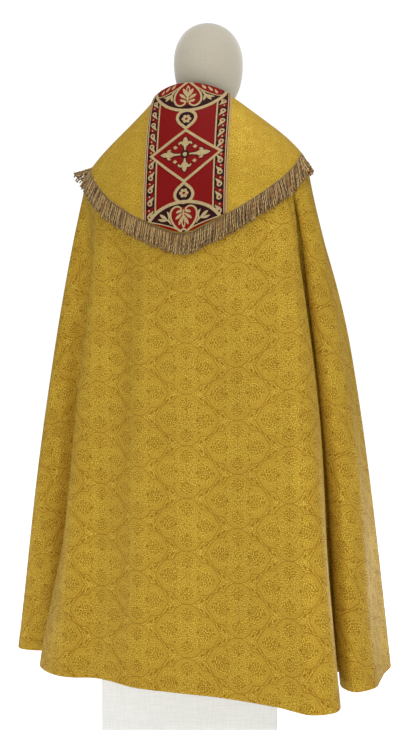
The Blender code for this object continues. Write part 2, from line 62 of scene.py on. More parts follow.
# The pole stands on the part's own upright axis, which every ring is listed from.
AXIS = np.array([(low + high) / 2 for low, high in zip(*POLE_BOX)]) * (1.0, 1.0, 0.0)
ROOT = "root"
MM = 0.001

# ---------------------------------------------------------------- the cloth's shape
WALL = 0.002                    # the damask with its backing
LAY_GAP = 0.0009                # under the hood, the fringe and the clasp
BAND_GAP = 0.0024               # under the stiff orphrey
HOOD_WALL = 0.002
BAND_WALL = 0.0015
BAND_HALF_WIDTH = 0.1000
BAND_END = 0.004                # the orphrey stops this far above the hood's edge
HOOD_TURN = 4.5                 # the hood's middle line, in degrees from the middle back
HOOD_LOW = WALL / 2 + LAY_GAP   # lifts above the mantle's middle surface
HOOD_HIGH = HOOD_LOW + HOOD_WALL
BAND_TOP = HOOD_HIGH + BAND_GAP + BAND_WALL
HANG_LENGTH = 1.09              # of the cloth below the shoulder ring, for the hems
HEM_OUT, HEM_IN = 0.0002, 0.0008        # how much the turned hem thickens the wall, each way
EDGE_STITCHES = 0.012           # from the front edges
FRINGE_INSET = 5.0              # degrees from the hood's ends to the first strands
FRINGE_REACH = (0.0005, 0.047)  # from the hood's edge to a strand's root and its tip
# The front and back rows of strands: share of a step along, and lifts of root and tip.
FRINGE_ROWS = ((0.0, 0.0042, 0.0078), (0.5, 0.0027, 0.0045))
CORD_LIFT, CORD_RADIUS = 0.0014, 0.0012
CORD_LENGTHS = 22.0             # strands' lengths of twist that a metre of the cord shows
CORD_RIBS, CORD_RIB_DEPTH = 900.0, 0.10         # radians in a metre, and parts of the radius
SHOULDER_ROWS = 29              # rows of the mantle's mesh down to the shoulder ring
LAP_DENSITY, LAP_REACH = 2.6, 0.06      # more columns near a lap, and how near
NORMAL_STEPS = (0.002, 0.01)    # along the hem and down the levels, for the cloth's slopes
SWELL_FADE = 0.35               # levels over which a swell fades out again
PANEL_STEPS = (0.01, 0.005)     # levels down and metres across, between the panel's known places
HOOD_GRID, BAND_GRID = (72, 300), (110, 61)     # rows and columns
HEM_POINTS, EDGE_POINTS, BAND_POINTS = 2400, 900, 600       # of the fine lines under stitches
STITCH_THICKNESS, STITCH_LIFT = 0.0006, 0.0003
HEM_STITCH, BAND_STITCH, BAND_STITCH_PITCH = 0.0032, 0.0028, 0.0040
BAND_STITCH_INSET = 0.0012
GOLD_HEIGHT = 0.0011            # of the gold embroidery above the orphrey's ground
PATCH_GRID = 0.006              # of the points that let the flat ornament bend with the band

RING_COLUMNS = ("half_width", "x", "y", "back", "front", "z_back", "z_side", "z_front", "square")
NECK_RING = dict(zip(RING_COLUMNS, (0.119, -0.012, 0.010, 0.102, 0.110, 1.508, 1.468, 1.345, 1.00)))
SHOULDER_RING = dict(zip(RING_COLUMNS,
                         (0.282, -0.014, -0.006, 0.172, 0.180, 1.200, 1.296, 1.215, 0.90)))
LEAN_BACK, LEAN_SIDE, LEAN_FRONT = 62.0, 37.0, 52.0     # slopes at the neck edge, in degrees
NECK_PULL, SHOULDER_PULL, SHOULDER_HANG = 1.20, 0.62, 0.14
FLARE_TOP, FLARE_HEM = 1.7, 0.75

# Hang lines: where each leaves the shoulders, in degrees from the middle back, and its end.
HANG_COLUMNS = ("name", "turn", "x", "y", "z")
HANG_LINES = (
    ("left_front_edge", -177.8, -0.012, 0.286, 0.120),
    ("left_front_middle", -164.0, -0.085, 0.298, 0.120),
    ("left_front_lobe", -151.0, -0.152, 0.270, 0.120),
    ("left_front_valley", -144.0, -0.158, 0.196, 0.122),
    ("left_front_return", -138.0, -0.205, 0.190, 0.122),
    ("left_second_lobe_in", -131.0, -0.232, 0.272, 0.122),
    ("left_second_lobe", -122.0, -0.300, 0.292, 0.124),
    ("left_second_lobe_out", -113.0, -0.346, 0.232, 0.126),
    ("left_second_valley", -107.0, -0.340, 0.130, 0.124),
    ("left_second_return", -101.0, -0.396, 0.118, 0.124),
    ("left_side_in", -95.0, -0.440, 0.196, 0.124),
    ("left_side_back", -87.0, -0.506, 0.150, 0.122),
    ("left_side", -79.0, -0.518, 0.040, 0.119),
    ("left_lobe_corner", -72.0, -0.480, -0.030, 0.118),
    ("left_lobe_in", -67.0, -0.420, -0.034, 0.119),
    ("left_valley_in", -63.0, -0.352, 0.016, 0.124),
    ("left_valley", -60.0, -0.306, 0.000, 0.126),
    ("left_valley_out", -56.0, -0.322, -0.080, 0.128),
    ("left_panel_edge", -51.0, -0.358, -0.164, 0.126),
    ("left_panel_corner", -45.0, -0.314, -0.222, 0.125),
    ("left_panel", -36.0, -0.236, -0.260, 0.128),
    ("left_panel_hollow", -26.0, -0.150, -0.274, 0.134),
    ("left_middle", -12.0, -0.060, -0.294, 0.130),
    ("middle_back", 2.0, 0.040, -0.292, 0.127),
    ("right_middle", 17.0, 0.150, -0.290, 0.124),
    ("right_panel", 31.0, 0.262, -0.300, 0.120),
    ("right_panel_swell", 42.0, 0.338, -0.320, 0.116),
    ("right_panel_corner", 49.0, 0.384, -0.294, 0.118),
    ("right_panel_return", 54.0, 0.376, -0.205, 0.120),
    ("right_valley_in", 58.0, 0.330, -0.090, 0.120),
    ("right_valley", 62.0, 0.296, 0.005, 0.120),
    ("right_valley_out", 67.0, 0.336, 0.010, 0.118),
    ("right_lobe_in", 71.0, 0.362, -0.070, 0.114),
    ("right_lobe", 77.0, 0.406, -0.118, 0.112),
    ("right_lobe_corner", 83.0, 0.444, -0.078, 0.112),
    ("right_side", 91.0, 0.444, 0.030, 0.116),
    ("right_side_front", 99.0, 0.430, 0.140, 0.118),
    ("right_second_return", 104.0, 0.378, 0.176, 0.120),
    ("right_second_valley", 109.0, 0.326, 0.108, 0.120),
    ("right_second_lobe_in", 115.0, 0.300, 0.196, 0.120),
    ("right_second_lobe", 122.0, 0.282, 0.282, 0.120),
    ("right_second_lobe_out", 131.0, 0.222, 0.270, 0.120),
    ("right_front_return", 138.0, 0.204, 0.188, 0.120),
    ("right_front_valley", 144.0, 0.158, 0.192, 0.120),
    ("right_front_lobe", 151.0, 0.150, 0.270, 0.120),
    ("right_front_middle", 164.0, 0.085, 0.298, 0.120),
    ("right_front_edge", 177.8, 0.012, 0.286, 0.120),
)
HOOD_EDGE = (
    ("left_end", -150.0, 0.020), ("left_breast", -128.0, 0.108),
    ("left_shoulder_front", -108.0, 0.176), ("left_shoulder", -88.0, 0.192),
    ("left_blade", -60.0, 0.226), ("left_back", -30.0, 0.303),
    ("left_of_tip", -6.0, 0.364), ("tip", 4.5, 0.383), ("right_of_tip", 15.0, 0.362),
    ("right_back", 36.0, 0.313), ("right_blade", 64.0, 0.243), ("right_shoulder", 88.0, 0.191),
    ("right_shoulder_front", 108.0, 0.168), ("right_breast", 128.0, 0.108),
    ("right_end", 150.0, 0.020),
)

# Soft troughs and swells between the folds, on every side of the mantle. "turn" is the
# hang line that each follows, "depth" its height in mm (a trough is below zero), "width"
# its half-width in mm at the hem, and it fades in over the levels from "start" to "full".
SWELL_COLUMNS = ("name", "turn", "depth", "width", "start", "full", "end")
SWELLS = (
    ("left_front_soft", -170.0, -4.0, 28.0, 1.10, 1.50, 2.2),
    ("left_front_swell", -158.0, 4.0, 26.0, 1.05, 1.40, 2.2),
    ("left_breast_drag", -126.0, -4.0, 26.0, 0.85, 1.10, 2.2),
    ("left_arm_drag", -118.0, 5.0, 24.0, 0.90, 1.30, 2.2),
    ("left_side_soft", -90.0, -5.0, 30.0, 0.95, 1.30, 2.2),
    ("left_side_swell", -83.0, 5.0, 26.0, 1.00, 1.40, 2.2),
    ("left_corner_soft", -75.5, -4.0, 20.0, 1.05, 1.40, 2.2),
    ("left_ridge_soft", -47.5, -8.0, 26.0, 1.05, 1.40, 2.0),
    ("left_lobe_swell", -69.5, 5.0, 30.0, 0.98, 1.15, 1.9),
    ("left_panel_swell", -39.0, 3.0, 26.0, 1.50, 1.80, 2.3),
    ("left_hollow_edge", -31.0, -16.0, 34.0, 1.40, 1.70, 2.2),
    ("left_hollow", -24.0, -20.0, 62.0, 0.98, 1.20, 2.1),
    ("left_inner_swell", -13.0, 5.0, 42.0, 1.05, 1.40, 2.2),
    ("left_of_spine", -6.0, -4.0, 30.0, 1.06, 1.30, 1.9),
    ("spine", 4.5, 3.0, 12.0, 1.04, 1.12, 1.45),
    ("right_of_spine", 2.0, 3.0, 40.0, 1.08, 1.40, 2.2),
    ("right_hollow", 15.0, -3.0, 30.0, 1.05, 1.40, 2.2),
    ("right_swell", 27.0, 4.0, 34.0, 1.05, 1.40, 2.2),
    ("right_edge_soft", 38.5, -7.0, 30.0, 1.05, 1.40, 2.2),
    ("right_edge", 47.0, 3.0, 18.0, 1.25, 1.60, 2.2),
    ("right_edge_out", 54.5, 13.0, 75.0, 0.96, 1.10, 1.8),
    ("right_edge_roll", 64.0, 7.0, 18.0, 0.98, 1.08, 1.55),
    ("right_valley", 69.5, -14.0, 17.0, 0.88, 1.00, 1.65),
    ("right_shoulder_soft", 94.0, -15.0, 95.0, 0.84, 1.02, 1.36),
    ("right_lobe_swell", 72.5, 12.0, 30.0, 1.02, 1.25, 2.2),
    ("right_side_soft", 87.0, -5.0, 26.0, 1.00, 1.30, 2.2),
    ("right_side_swell", 95.0, 5.0, 26.0, 0.95, 1.30, 2.2),
    ("right_arm_drag", 118.5, 5.0, 24.0, 0.90, 1.30, 2.2),
    ("right_breast_drag", 126.0, -4.0, 26.0, 0.85, 1.10, 2.2),
    ("right_front_swell", 158.0, 4.0, 26.0, 1.05, 1.40, 2.2),
    ("right_front_soft", 170.0, -4.0, 28.0, 1.10, 1.50, 2.2),
)
# Where an edge of the back laps over the valley beside it: how far it is drawn along, in mm.
LAPS = (
    ("right_edge_lap", 66.5, 12.0, 17.0, 0.88, 1.00, 1.7),
    ("right_fold_drift", 68.0, -26.0, 70.0, 0.86, 0.98, 1.55),
)
# Folds that hang to one side of their hang lines: how far across the back, in mm.
SHIFTS = (
    ("left_fold_shift", -50.0, 30.0, 85.0, 0.95, 1.25, 2.05),
    ("left_valley_shift", -57.0, 32.0, 100.0, 0.98, 1.25, 1.95),
    ("left_lobe_shift", -76.0, 4.0, 90.0, 0.95, 1.15, 1.7),
    ("right_hem_shift", 84.0, -13.0, 110.0, 1.60, 1.95, 2.6),
)
# How the cloth lies on the hood: long soft drags from the neck towards its edge.
HOOD_SWELLS = (
    ("left_neck_drag", -112.0, 2.4, 14.0, 0.15, 0.5, 2.0),
    ("left_shoulder_drag", -84.0, 5.0, 20.0, 0.45, 0.8, 2.0),
    ("left_back_drag", -52.0, 2.6, 18.0, 0.15, 0.5, 2.0),
    ("left_band_side", -30.0, -0.9, 16.0, 0.30, 0.7, 2.0),
    ("right_band_side", 40.0, 2.4, 16.0, 0.20, 0.6, 2.0),
    ("right_shoulder_drag", 66.0, -0.9, 18.0, 0.25, 0.6, 2.0),
    ("right_arm_drag", 92.0, 2.4, 16.0, 0.15, 0.5, 2.0),
    ("right_neck_drag", 120.0, -0.9, 14.0, 0.25, 0.6, 2.0),
)
# The cut: the angle between the loom's width and the cloth's own level lines, by turn.
# The back is one straight loom width, and the gores beside it turn with the half-disc.
CUT_TURNS = (-178.0, -125.0, -85.0, -50.0, -42.0, 47.0, 55.0, 85.0, 125.0, 178.0)
CUT_ANGLES = (-88.0, -66.0, -42.0, -10.0, 0.0, 0.0, 10.0, 42.0, 66.0, 88.0)


class Curve:
    """A smooth curve through values at rising knots, read at many places at once."""

    def __init__(self, knots, values, monotone=False):
        self.knots, self.values = np.array(knots, float), np.array(values, float)
        widths = np.diff(self.knots)
        slopes = np.diff(self.values) / widths
        into, out, before, after = slopes[:-1], slopes[1:], widths[:-1], widths[1:]
        inner = (into * after + out * before) / (before + after)
        if monotone:
            total = np.where(into + out == 0.0, 1.0, into + out)
            inner = np.where(into * out > 0.0, 2.0 * into * out / total, 0.0)
        self.tangents = np.concatenate([slopes[:1], inner, slopes[-1:]])

    def at(self, place):
        place = np.asarray(place, float)
        span = np.clip(np.searchsorted(self.knots, place, side="right") - 1, 0,
                       len(self.knots) - 2)
        width = self.knots[span + 1] - self.knots[span]
        t = (place - self.knots[span]) / width
        rise = 3 * t ** 2 - 2 * t ** 3
        return (self.values[span] * (1 - rise) + self.values[span + 1] * rise
                + self.tangents[span] * width * (t ** 3 - 2 * t ** 2 + t)
                + self.tangents[span + 1] * width * (t ** 3 - t ** 2))


def unit(vectors):
    return vectors / np.maximum(np.linalg.norm(vectors, axis=-1, keepdims=True), 1e-12)


def walk(points, axis=0):
    """How far each point of a line, or of the lines of a grid, lies from the first."""
    steps = np.linalg.norm(np.diff(points, axis=axis), axis=-1)
    return np.insert(np.cumsum(steps, axis=axis), 0, 0.0, axis=axis)


def spread(*values):
    """Numbers and arrays as arrays of one shape."""
    return np.broadcast_arrays(*(np.asarray(value, float) for value in values))


def ease(value, low, high):
    """0 up to low, 1 from high, and smooth between them."""
    t = np.clip((value - low) / (high - low), 0.0, 1.0)
    return t * t * (3 - 2 * t)


def ring_point(ring, turn):
    """The points of a mantle ring at turns in degrees from the middle back."""
    sine, cosine = np.sin(np.radians(turn)), np.cos(np.radians(turn))
    x = ring["x"] + ring["half_width"] * np.copysign(np.abs(sine) ** ring["square"], sine)
    depth = np.where(cosine > 0.0, ring["back"], ring["front"])
    z_end = np.where(cosine > 0.0, ring["z_back"], ring["z_front"])
    y = ring["y"] - depth * np.copysign(np.abs(cosine) ** ring["square"], cosine)
    return np.stack([x, y, ring["z_side"] + (z_end - ring["z_side"]) * cosine ** 2], axis=-1)


def shoulder_point(turn, level):
    """The cloth between the neck edge, level 0, and the shoulder ring, level 1."""
    turn, level = spread(turn, level)
    neck, shoulder = ring_point(NECK_RING, turn), ring_point(SHOULDER_RING, turn)
    outward = unit((shoulder - neck) * (1.0, 1.0, 0.0))
    cosine = np.cos(np.radians(turn))
    end = np.where(cosine > 0.0, LEAN_BACK, LEAN_FRONT)
    lean = np.radians(LEAN_SIDE + (end - LEAN_SIDE) * cosine ** 2)[..., None]
    down = np.array([0.0, 0.0, -1.0])
    leave = outward * np.cos(lean) + down * np.sin(lean)
    arrive = unit(outward * SHOULDER_HANG + down)
    t = level[..., None]
    span = np.linalg.norm(neck - shoulder, axis=-1, keepdims=True)
    return (neck * (2 * t ** 3 - 3 * t ** 2 + 1)
            + leave * NECK_PULL * span * (t ** 3 - 2 * t ** 2 + t)
            + shoulder * (3 * t ** 2 - 2 * t ** 3)
            + arrive * SHOULDER_PULL * span * (t ** 3 - t ** 2))


class Mantle:
    """The middle surface of the mantle, at places along the hem and levels down the cloth.

    Levels run from 0 at the neck edge through 1 at the shoulder ring to 2 at the hem.
    """

    def __init__(self):
        rows = [dict(zip(HANG_COLUMNS, row)) for row in HANG_LINES]
        self.along = [0.0]
        for a, b in zip(rows, rows[1:]):
            self.along.append(self.along[-1] + math.dist((a["x"], a["y"]), (b["x"], b["y"])))
        self.turns = Curve(self.along, [row["turn"] for row in rows], monotone=True)
        self.hem = [Curve(self.along, [row[axis] for row in rows]) for axis in "xyz"]
        self.end = self.along[-1]
        fine = np.linspace(0.0, self.end, 4001)
        self.place_table = (self.turns.at(fine), fine)
        self.swells, self.laps, self.shifts = (self.placed(rows)
                                               for rows in (SWELLS, LAPS, SHIFTS))

    def placed(self, swells):
        """A table's rows, with the place of each along the hem and its sizes in metres."""
        return [(self.place(row["turn"]), row["depth"] * MM, row["width"] * MM, row["start"],
                 row["full"], row["end"])
                for row in (dict(zip(SWELL_COLUMNS, swell)) for swell in swells)]

    def turn(self, place):
        return self.turns.at(place)

    def place(self, turn):
        """The place along the hem whose line leaves the shoulders at a turn."""
        return np.interp(turn, *self.place_table)

    def bare(self, place, level):
        """The cloth as the part's source has it."""
        place, level = spread(place, level)
        turn = self.turn(place)
        shoulder = ring_point(SHOULDER_RING, turn)
        hem = np.stack([curve.at(place) for curve in self.hem], axis=-1)
        t = np.clip(level - 1.0, 0.0, 1.0)[..., None]
        out = (FLARE_TOP * (t - 2 * t ** 2 + t ** 3) + 3 * t ** 2 - 2 * t ** 3
               + FLARE_HEM * (t ** 3 - t ** 2))
        hung = shoulder + (hem - shoulder) * np.concatenate([out, out, t], axis=-1)
        laid = shoulder_point(turn, np.minimum(level, 1.0))
        return np.where(level[..., None] > 1.0, hung, laid) + AXIS

    def swell(self, place, level, swells):
        """How far the soft troughs and swells push the cloth out."""
        total = np.zeros(np.broadcast(place, level).shape)
        for centre, depth, width, start, full, end in swells:
            fade = ease(level, start, full) * (1.0 - ease(level, end - SWELL_FADE, end))
            total = total + depth * fade * np.exp(-((place - centre) / width) ** 2)
        return total

    def normal(self, place, level, surface=None):
        """The direction out of the cloth."""
        surface = surface or self.bare
        along, down = NORMAL_STEPS
        after = surface(np.minimum(place + along, self.end), level)
        before = surface(np.maximum(place - along, 0.0), level)
        below = surface(place, np.minimum(level + down, 2.0))
        above = surface(place, np.maximum(level - down, 0.0))
        return unit(np.cross(below - above, after - before))

    def point(self, place, level):
        """The cloth with its troughs and swells."""
        place, level = spread(place, level)
        push, lap = self.swell(place, level, self.swells), self.swell(place, level, self.laps)
        reach = NORMAL_STEPS[0]
        along = unit(self.bare(np.minimum(place + reach, self.end), level)
                     - self.bare(np.maximum(place - reach, 0.0), level))
        made = (self.bare(place, level) + self.normal(place, level) * push[..., None]
                + along * lap[..., None])
        made[..., 0] += self.swell(place, level, self.shifts)
        return made

    def lifted(self, place, level, lift):
        """Points at a lift above the bare surface."""
        place, level = spread(place, level)
        lift = np.broadcast_to(lift, place.shape)[..., None]
        return self.bare(place, level) + self.normal(place, level) * lift

    def level_at(self, places, reaches):
        """Levels that lie at reaches down the cloth; places run along the last axis."""
        levels = np.linspace(0.0, 1.6, 161)
        points = self.bare(np.asarray(places)[None, :], levels[:, None])
        walked = walk(points)
        reaches = np.atleast_2d(reaches)
        return np.stack([np.interp(reaches[:, c], walked[:, c], levels)
                         for c in range(len(places))], axis=1)


MANTLE = Mantle()
HOOD_REACH = Curve([row[1] for row in HOOD_EDGE], [row[2] for row in HOOD_EDGE], monotone=True)


def hood_reach(turn):
    """How far down the cloth the hood's edge lies at a turn."""
    return HOOD_REACH.at(np.clip(turn, HOOD_EDGE[0][1], HOOD_EDGE[-1][1]))


class Panel:
    """The orphrey's ground: metres across and down give a point over the hood."""

    def __init__(self):
        self.levels = np.linspace(0.0, 1.3, 131)
        places = MANTLE.place(HOOD_TURN) + np.linspace(-0.5, 0.5, 501)
        middle = len(places) // 2
        points = MANTLE.bare(places[None, :], self.levels[:, None])
        walked = walk(points, axis=1)
        walked -= walked[:, middle:middle + 1]
        self.across = np.linspace(-0.105, 0.105, 43)
        self.places = np.array([np.interp(self.across, row, places) for row in walked])
        self.down = walk(points[:, middle])
        edge = np.ones(len(self.across))
        for _ in range(4):
            place = self.place(self.across, edge)
            reach = hood_reach(MANTLE.turn(place)) - BAND_END
            edge = MANTLE.level_at(place, reach[None, :])[0]
        self.edge_down = np.interp(edge, self.levels, self.down)

    def place(self, across, level):
        """The mantle's place at a distance across and a level, read from the known ones."""
        row = np.clip(level / PANEL_STEPS[0], 0, len(self.levels) - 1.001)
        column = np.clip((across - self.across[0]) / PANEL_STEPS[1], 0,
                         len(self.across) - 1.001)
        r, c = row.astype(int), column.astype(int)
        s, t = row - r, column - c
        upper = self.places[r, c] * (1 - t) + self.places[r, c + 1] * t
        lower = self.places[r + 1, c] * (1 - t) + self.places[r + 1, c + 1] * t
        return upper * (1 - s) + lower * s

    def edge(self, across):
        """How far down the band's foot lies at a distance across."""
        return np.interp(across, self.across, self.edge_down)

    def point(self, across, down, lift):
        level = np.interp(down, self.down, self.levels)
        return MANTLE.lifted(self.place(np.asarray(across, float), level), level, lift)


PANEL = Panel()


# ---------------------------------------------------------------- meshes
def flat_map(points, middle, angles, downs):
    """The cut's own flat coordinates for a grid of points, walked from the middle column.

    angles is the cut's angle for each column or point, and downs how far down each row starts.
    """
    steps = np.linalg.norm(np.diff(points, axis=1), axis=-1)
    between = (angles[..., 1:] + angles[..., :-1]) / 2
    walks = [np.insert(np.cumsum(steps * part, axis=1), 0, 0.0, axis=1)
             for part in (np.cos(between), np.sin(between))]
    u, v = (walked - walked[:, middle:middle + 1] for walked in walks)
    flat = np.stack([u, v - np.asarray(downs)[:, None]], axis=-1)
    return flat - flat[..., :1] * (0.0, SKEW)


def cut_angles(turns):
    """The cut's angle at turns, in radians."""
    return Curve(CUT_TURNS, np.radians(CUT_ANGLES), monotone=True).at(turns)


def grid_normals(points):
    """The direction out of the cloth at each point of a grid."""
    return unit(np.cross(np.gradient(points, axis=0), np.gradient(points, axis=1)))


def link_object(name, data):
    made = bpy.data.objects.new(name, data)
    bpy.context.scene.collection.objects.link(made)
    return made


def new_object(name, verts, faces, materials, uv=None, face_materials=None, sharp=None):
    """A mesh object from arrays, with the flat coordinates of each vertex as its UV map."""
    mesh = bpy.data.meshes.new(name)
    mesh.from_pydata(np.asarray(verts).reshape(-1, 3).tolist(), [], faces)
    if uv is not None:
        corners = np.zeros(len(mesh.loops), np.int32)
        mesh.loops.foreach_get("vertex_index", corners)
        layer = mesh.uv_layers.new(name="cloth")
        layer.data.foreach_set("uv", np.asarray(uv)[corners].astype(np.float32).ravel())
    for material in materials:
        mesh.materials.append(material)
    if face_materials is not None:
        mesh.polygons.foreach_set("material_index", np.asarray(face_materials, np.int32))
    mesh.shade_smooth()
    if sharp is not None:
        mesh.set_sharp_from_angle(angle=math.radians(sharp))
    mesh.validate()
    mesh.update()
    return link_object(name, mesh)


def add_shell(name, outer, inner, uv, materials):
    """A closed sheet of cloth; its first material is the outer side's and its last the inner's."""
    rows, columns = outer.shape[:2]
    front, back = np.arange(2 * rows * columns).reshape(2, rows, columns)

    def quads(grid, order):
        corners = (grid[:-1, :-1], grid[1:, :-1], grid[1:, 1:], grid[:-1, 1:])
        return np.stack([corners[k] for k in order], axis=-1).reshape(-1, 4).tolist()

    loop = np.concatenate([front[0, :-1], front[:-1, -1], front[-1, :0:-1], front[:0:-1, 0]])
    after, under = np.roll(loop, -1), rows * columns
    rim = np.stack([loop, after, after + under, loop + under], axis=-1).tolist()
    faces = [quads(front, (0, 1, 2, 3)), quads(back, (0, 3, 2, 1)), rim]
    kinds = np.repeat([0, len(materials) - 1, 0], [len(part) for part in faces])
    verts = np.concatenate([outer.reshape(-1, 3), inner.reshape(-1, 3)])
    flat = np.tile(uv.reshape(-1, 2), (2, 1))
    return new_object(name, verts, sum(faces, []), materials, flat, kinds, sharp=60)


def add_stack(name, rings, top, bottom, materials, uv=None):
    """A closed body from rings of points listed from the top down, with its two ends."""
    rings = np.asarray(rings)
    levels, sides = rings.shape[:2]
    verts = np.concatenate([rings.reshape(-1, 3), [top], [bottom]])
    first, last = levels * sides, levels * sides + 1
    faces = []
    for s in range(sides):
        n = (s + 1) % sides
        faces.append((first, s, n))
        faces += [(level * sides + s, (level + 1) * sides + s, (level + 1) * sides + n,
                   level * sides + n) for level in range(levels - 1)]
        faces.append((last, (levels - 1) * sides + n, (levels - 1) * sides + s))
    return new_object(name, verts, faces, materials, uv, sharp=50)


# ---------------------------------------------------------------- materials
def linear(hexed):
    """An sRGB hex colour in linear light, as red, green and blue."""
    parts = [int(hexed[i:i + 2], 16) / 255 for i in (1, 3, 5)]
    return tuple(p / 12.92 if p <= 0.04045 else ((p + 0.055) / 1.055) ** 2.4 for p in parts)


def add_node(tree, kind, inputs=(), **settings):
    """Add a node with its settings, and with inputs that are values, nodes or sockets."""
    node = tree.nodes.new(kind)
    for key, value in settings.items():
        setattr(node, key, value)
    for key, value in inputs.items() if isinstance(inputs, dict) else enumerate(inputs):
        if isinstance(value, bpy.types.Node):
            value = next(socket for socket in value.outputs if socket.enabled)
        if isinstance(value, bpy.types.NodeSocket):
            tree.links.new(value, node.inputs[key])
        elif node.inputs[key].type == "RGBA":
            node.inputs[key].default_value = (*value[:3], 1.0)
        else:
            node.inputs[key].default_value = value
    return node


def calc(tree, operation, *values, **settings):
    """Arithmetic on values, nodes or sockets."""
    return add_node(tree, "ShaderNodeMath", values, operation=operation, **settings)


def vector_calc(tree, operation, *values):
    """Arithmetic on vectors."""
    return add_node(tree, "ShaderNodeVectorMath", values, operation=operation)


def ramp(tree, value, low, high, first, last, kind="LINEAR"):
    """What runs from low to high, as a value that runs from first to last."""
    return add_node(tree, "ShaderNodeMapRange", (value, low, high, first, last),
                    interpolation_type=kind)


def blend(tree, share, first, second):
    """One colour, and more of the second as the share grows."""
    return add_node(tree, "ShaderNodeMix", {0: share, 6: first, 7: second}, data_type="RGBA")


def noise(tree, vector, scale, detail, **inputs):
    """Soft cells of noise, about 1 / scale across."""
    return add_node(tree, "ShaderNodeTexNoise", {"Vector": vector, "Scale": scale,
                                                 "Detail": detail, **inputs})


def ribs(tree, vector, scale, distortion, detail):
    """Close parallel threads that run across the cloth."""
    return add_node(tree, "ShaderNodeTexWave", {
        "Vector": vector, "Scale": scale, "Distortion": distortion, "Detail": detail},
        bands_direction="Y").outputs["Fac"]


def cut_place(tree):
    """Where a point lies on the flat cut, in metres."""
    return add_node(tree, "ShaderNodeUVMap", uv_map="cloth")


def solid_place(tree, scale=None):
    """Where a point lies on the object, in metres, or in cells of a scale."""
    place = add_node(tree, "ShaderNodeTexCoord").outputs["Object"]
    return place if scale is None else add_node(tree, "ShaderNodeMapping",
                                                {"Vector": place, "Scale": scale})


def new_material(name, colour, roughness, metallic=0.0, sheen=0.0, specular=0.5):
    """A material whose uniform values stand on the shader itself, with its tree and shader."""
    made = bpy.data.materials.new(name)
    made.use_nodes = True
    shader = next(node for node in made.node_tree.nodes if node.type == "BSDF_PRINCIPLED")
    for socket, value in (("Base Color", (*colour, 1.0)), ("Roughness", roughness),
                          ("Metallic", metallic), ("Specular IOR Level", specular),
                          ("Sheen Weight", sheen), ("Sheen Roughness", 0.4)):
        shader.inputs[socket].default_value = value
    return made, made.node_tree, shader


def finish_shader(tree, shader, colour, roughness, height, depth, strength):
    """Link a colour, a roughness, and a height in parts of a depth in metres, to the shader."""
    normal = add_node(tree, "ShaderNodeBump", {"Height": height, "Distance": depth,
                                               "Strength": strength})
    for socket, node in (("Base Color", colour), ("Roughness", roughness), ("Normal", normal)):
        if node is not None:
            output = next(out for out in node.outputs if out.enabled)
            tree.links.new(output, shader.inputs[socket])


def most(tree, parts):
    """The greatest of several values."""
    total = parts[0]
    for part in parts[1:]:
        total = calc(tree, "MAXIMUM", total, part)
    return total


def oval(tree, point, centre, reach, soft=0.25):
    """1 inside an ellipse about a centre, 0 outside it."""
    arm = vector_calc(tree, "SUBTRACT", point, centre + (0.0,))
    away = vector_calc(tree, "LENGTH", vector_calc(tree, "DIVIDE", arm, reach + (1.0,)))
    return ramp(tree, away, 1.0 - soft, 1.0 + soft, 1.0, 0.0, "SMOOTHSTEP")


def medallion_group():
    """The damask's figure: how far a point in mm lies outside a medallion, and what fills it.

    One quarter is drawn and folded four ways: a round lobe stands above, and two slopes with
    a rounded shoulder meet in a point at the side. Fans of dots and single dots fill them.
    """
    tree = bpy.data.node_groups.new(MEDALLION, "ShaderNodeTree")
    tree.interface.new_socket("Point", in_out="INPUT", socket_type="NodeSocketVector")
    for name in ("Outside", "Figure", "Bright"):
        tree.interface.new_socket(name, in_out="OUTPUT", socket_type="NodeSocketFloat")
    half = (DAMASK_WIDTH / 2, DAMASK_HEIGHT / 2, 1.0)
    wrapped = vector_calc(tree, "WRAP", add_node(tree, "NodeGroupInput"), half,
                          tuple(-h for h in half))
    point = vector_calc(tree, "ABSOLUTE", wrapped)
    lobe = calc(tree, "SUBTRACT", vector_calc(tree, "DISTANCE", point, LOBE_MIDDLE), LOBE_RADIUS)
    planes = [calc(tree, "SUBTRACT", vector_calc(tree, "DOT_PRODUCT", point, slope), reach)
              for slope, reach in DAMASK_SLOPES]
    side = calc(tree, "SMOOTH_MAX", *planes, SHOULDER_ROUND)
    outside = calc(tree, "MINIMUM", lobe, side)
    figures = [oval(tree, point, (across, up), (radius, radius))
               for across, up, radius in DAMASK_DOTS]
    for root, centre, reach, petals, ring in DAMASK_FANS:
        arm = vector_calc(tree, "SUBTRACT", point, root + (0.0,))
        away = vector_calc(tree, "LENGTH", arm)
        parts = add_node(tree, "ShaderNodeSeparateXYZ", (arm,)).outputs
        angle = calc(tree, "ARCTAN2", parts[1], parts[0])
        petal = calc(tree, "COSINE", calc(tree, "MULTIPLY", angle, petals))
        rings = calc(tree, "COSINE", calc(tree, "MULTIPLY", away, 2 * math.pi / ring))
        spots = ramp(tree, calc(tree, "MULTIPLY", petal, rings), 0.15, 0.5, 0.0, 1.0,
                     "SMOOTHSTEP")
        figures.append(calc(tree, "MULTIPLY", spots, oval(tree, point, centre, reach, 0.1)))
    # The dashes lie along the slope of the gap between neighbours.
    rotated = add_node(tree, "ShaderNodeVectorRotate", {"Vector": point, "Angle": DASH_ANGLE},
                       rotation_type="Z_AXIS")
    figures += [oval(tree, rotated, centre, reach) for centre, reach in DAMASK_DASHES]
    # Bright: spots where the damask's painted glints gather.
    bright = [oval(tree, point, centre, STAR_REACH, 0.5) for centre in DAMASK_STARS]
    add_node(tree, "NodeGroupOutput", (outside, most(tree, figures), most(tree, bright)))
    return tree


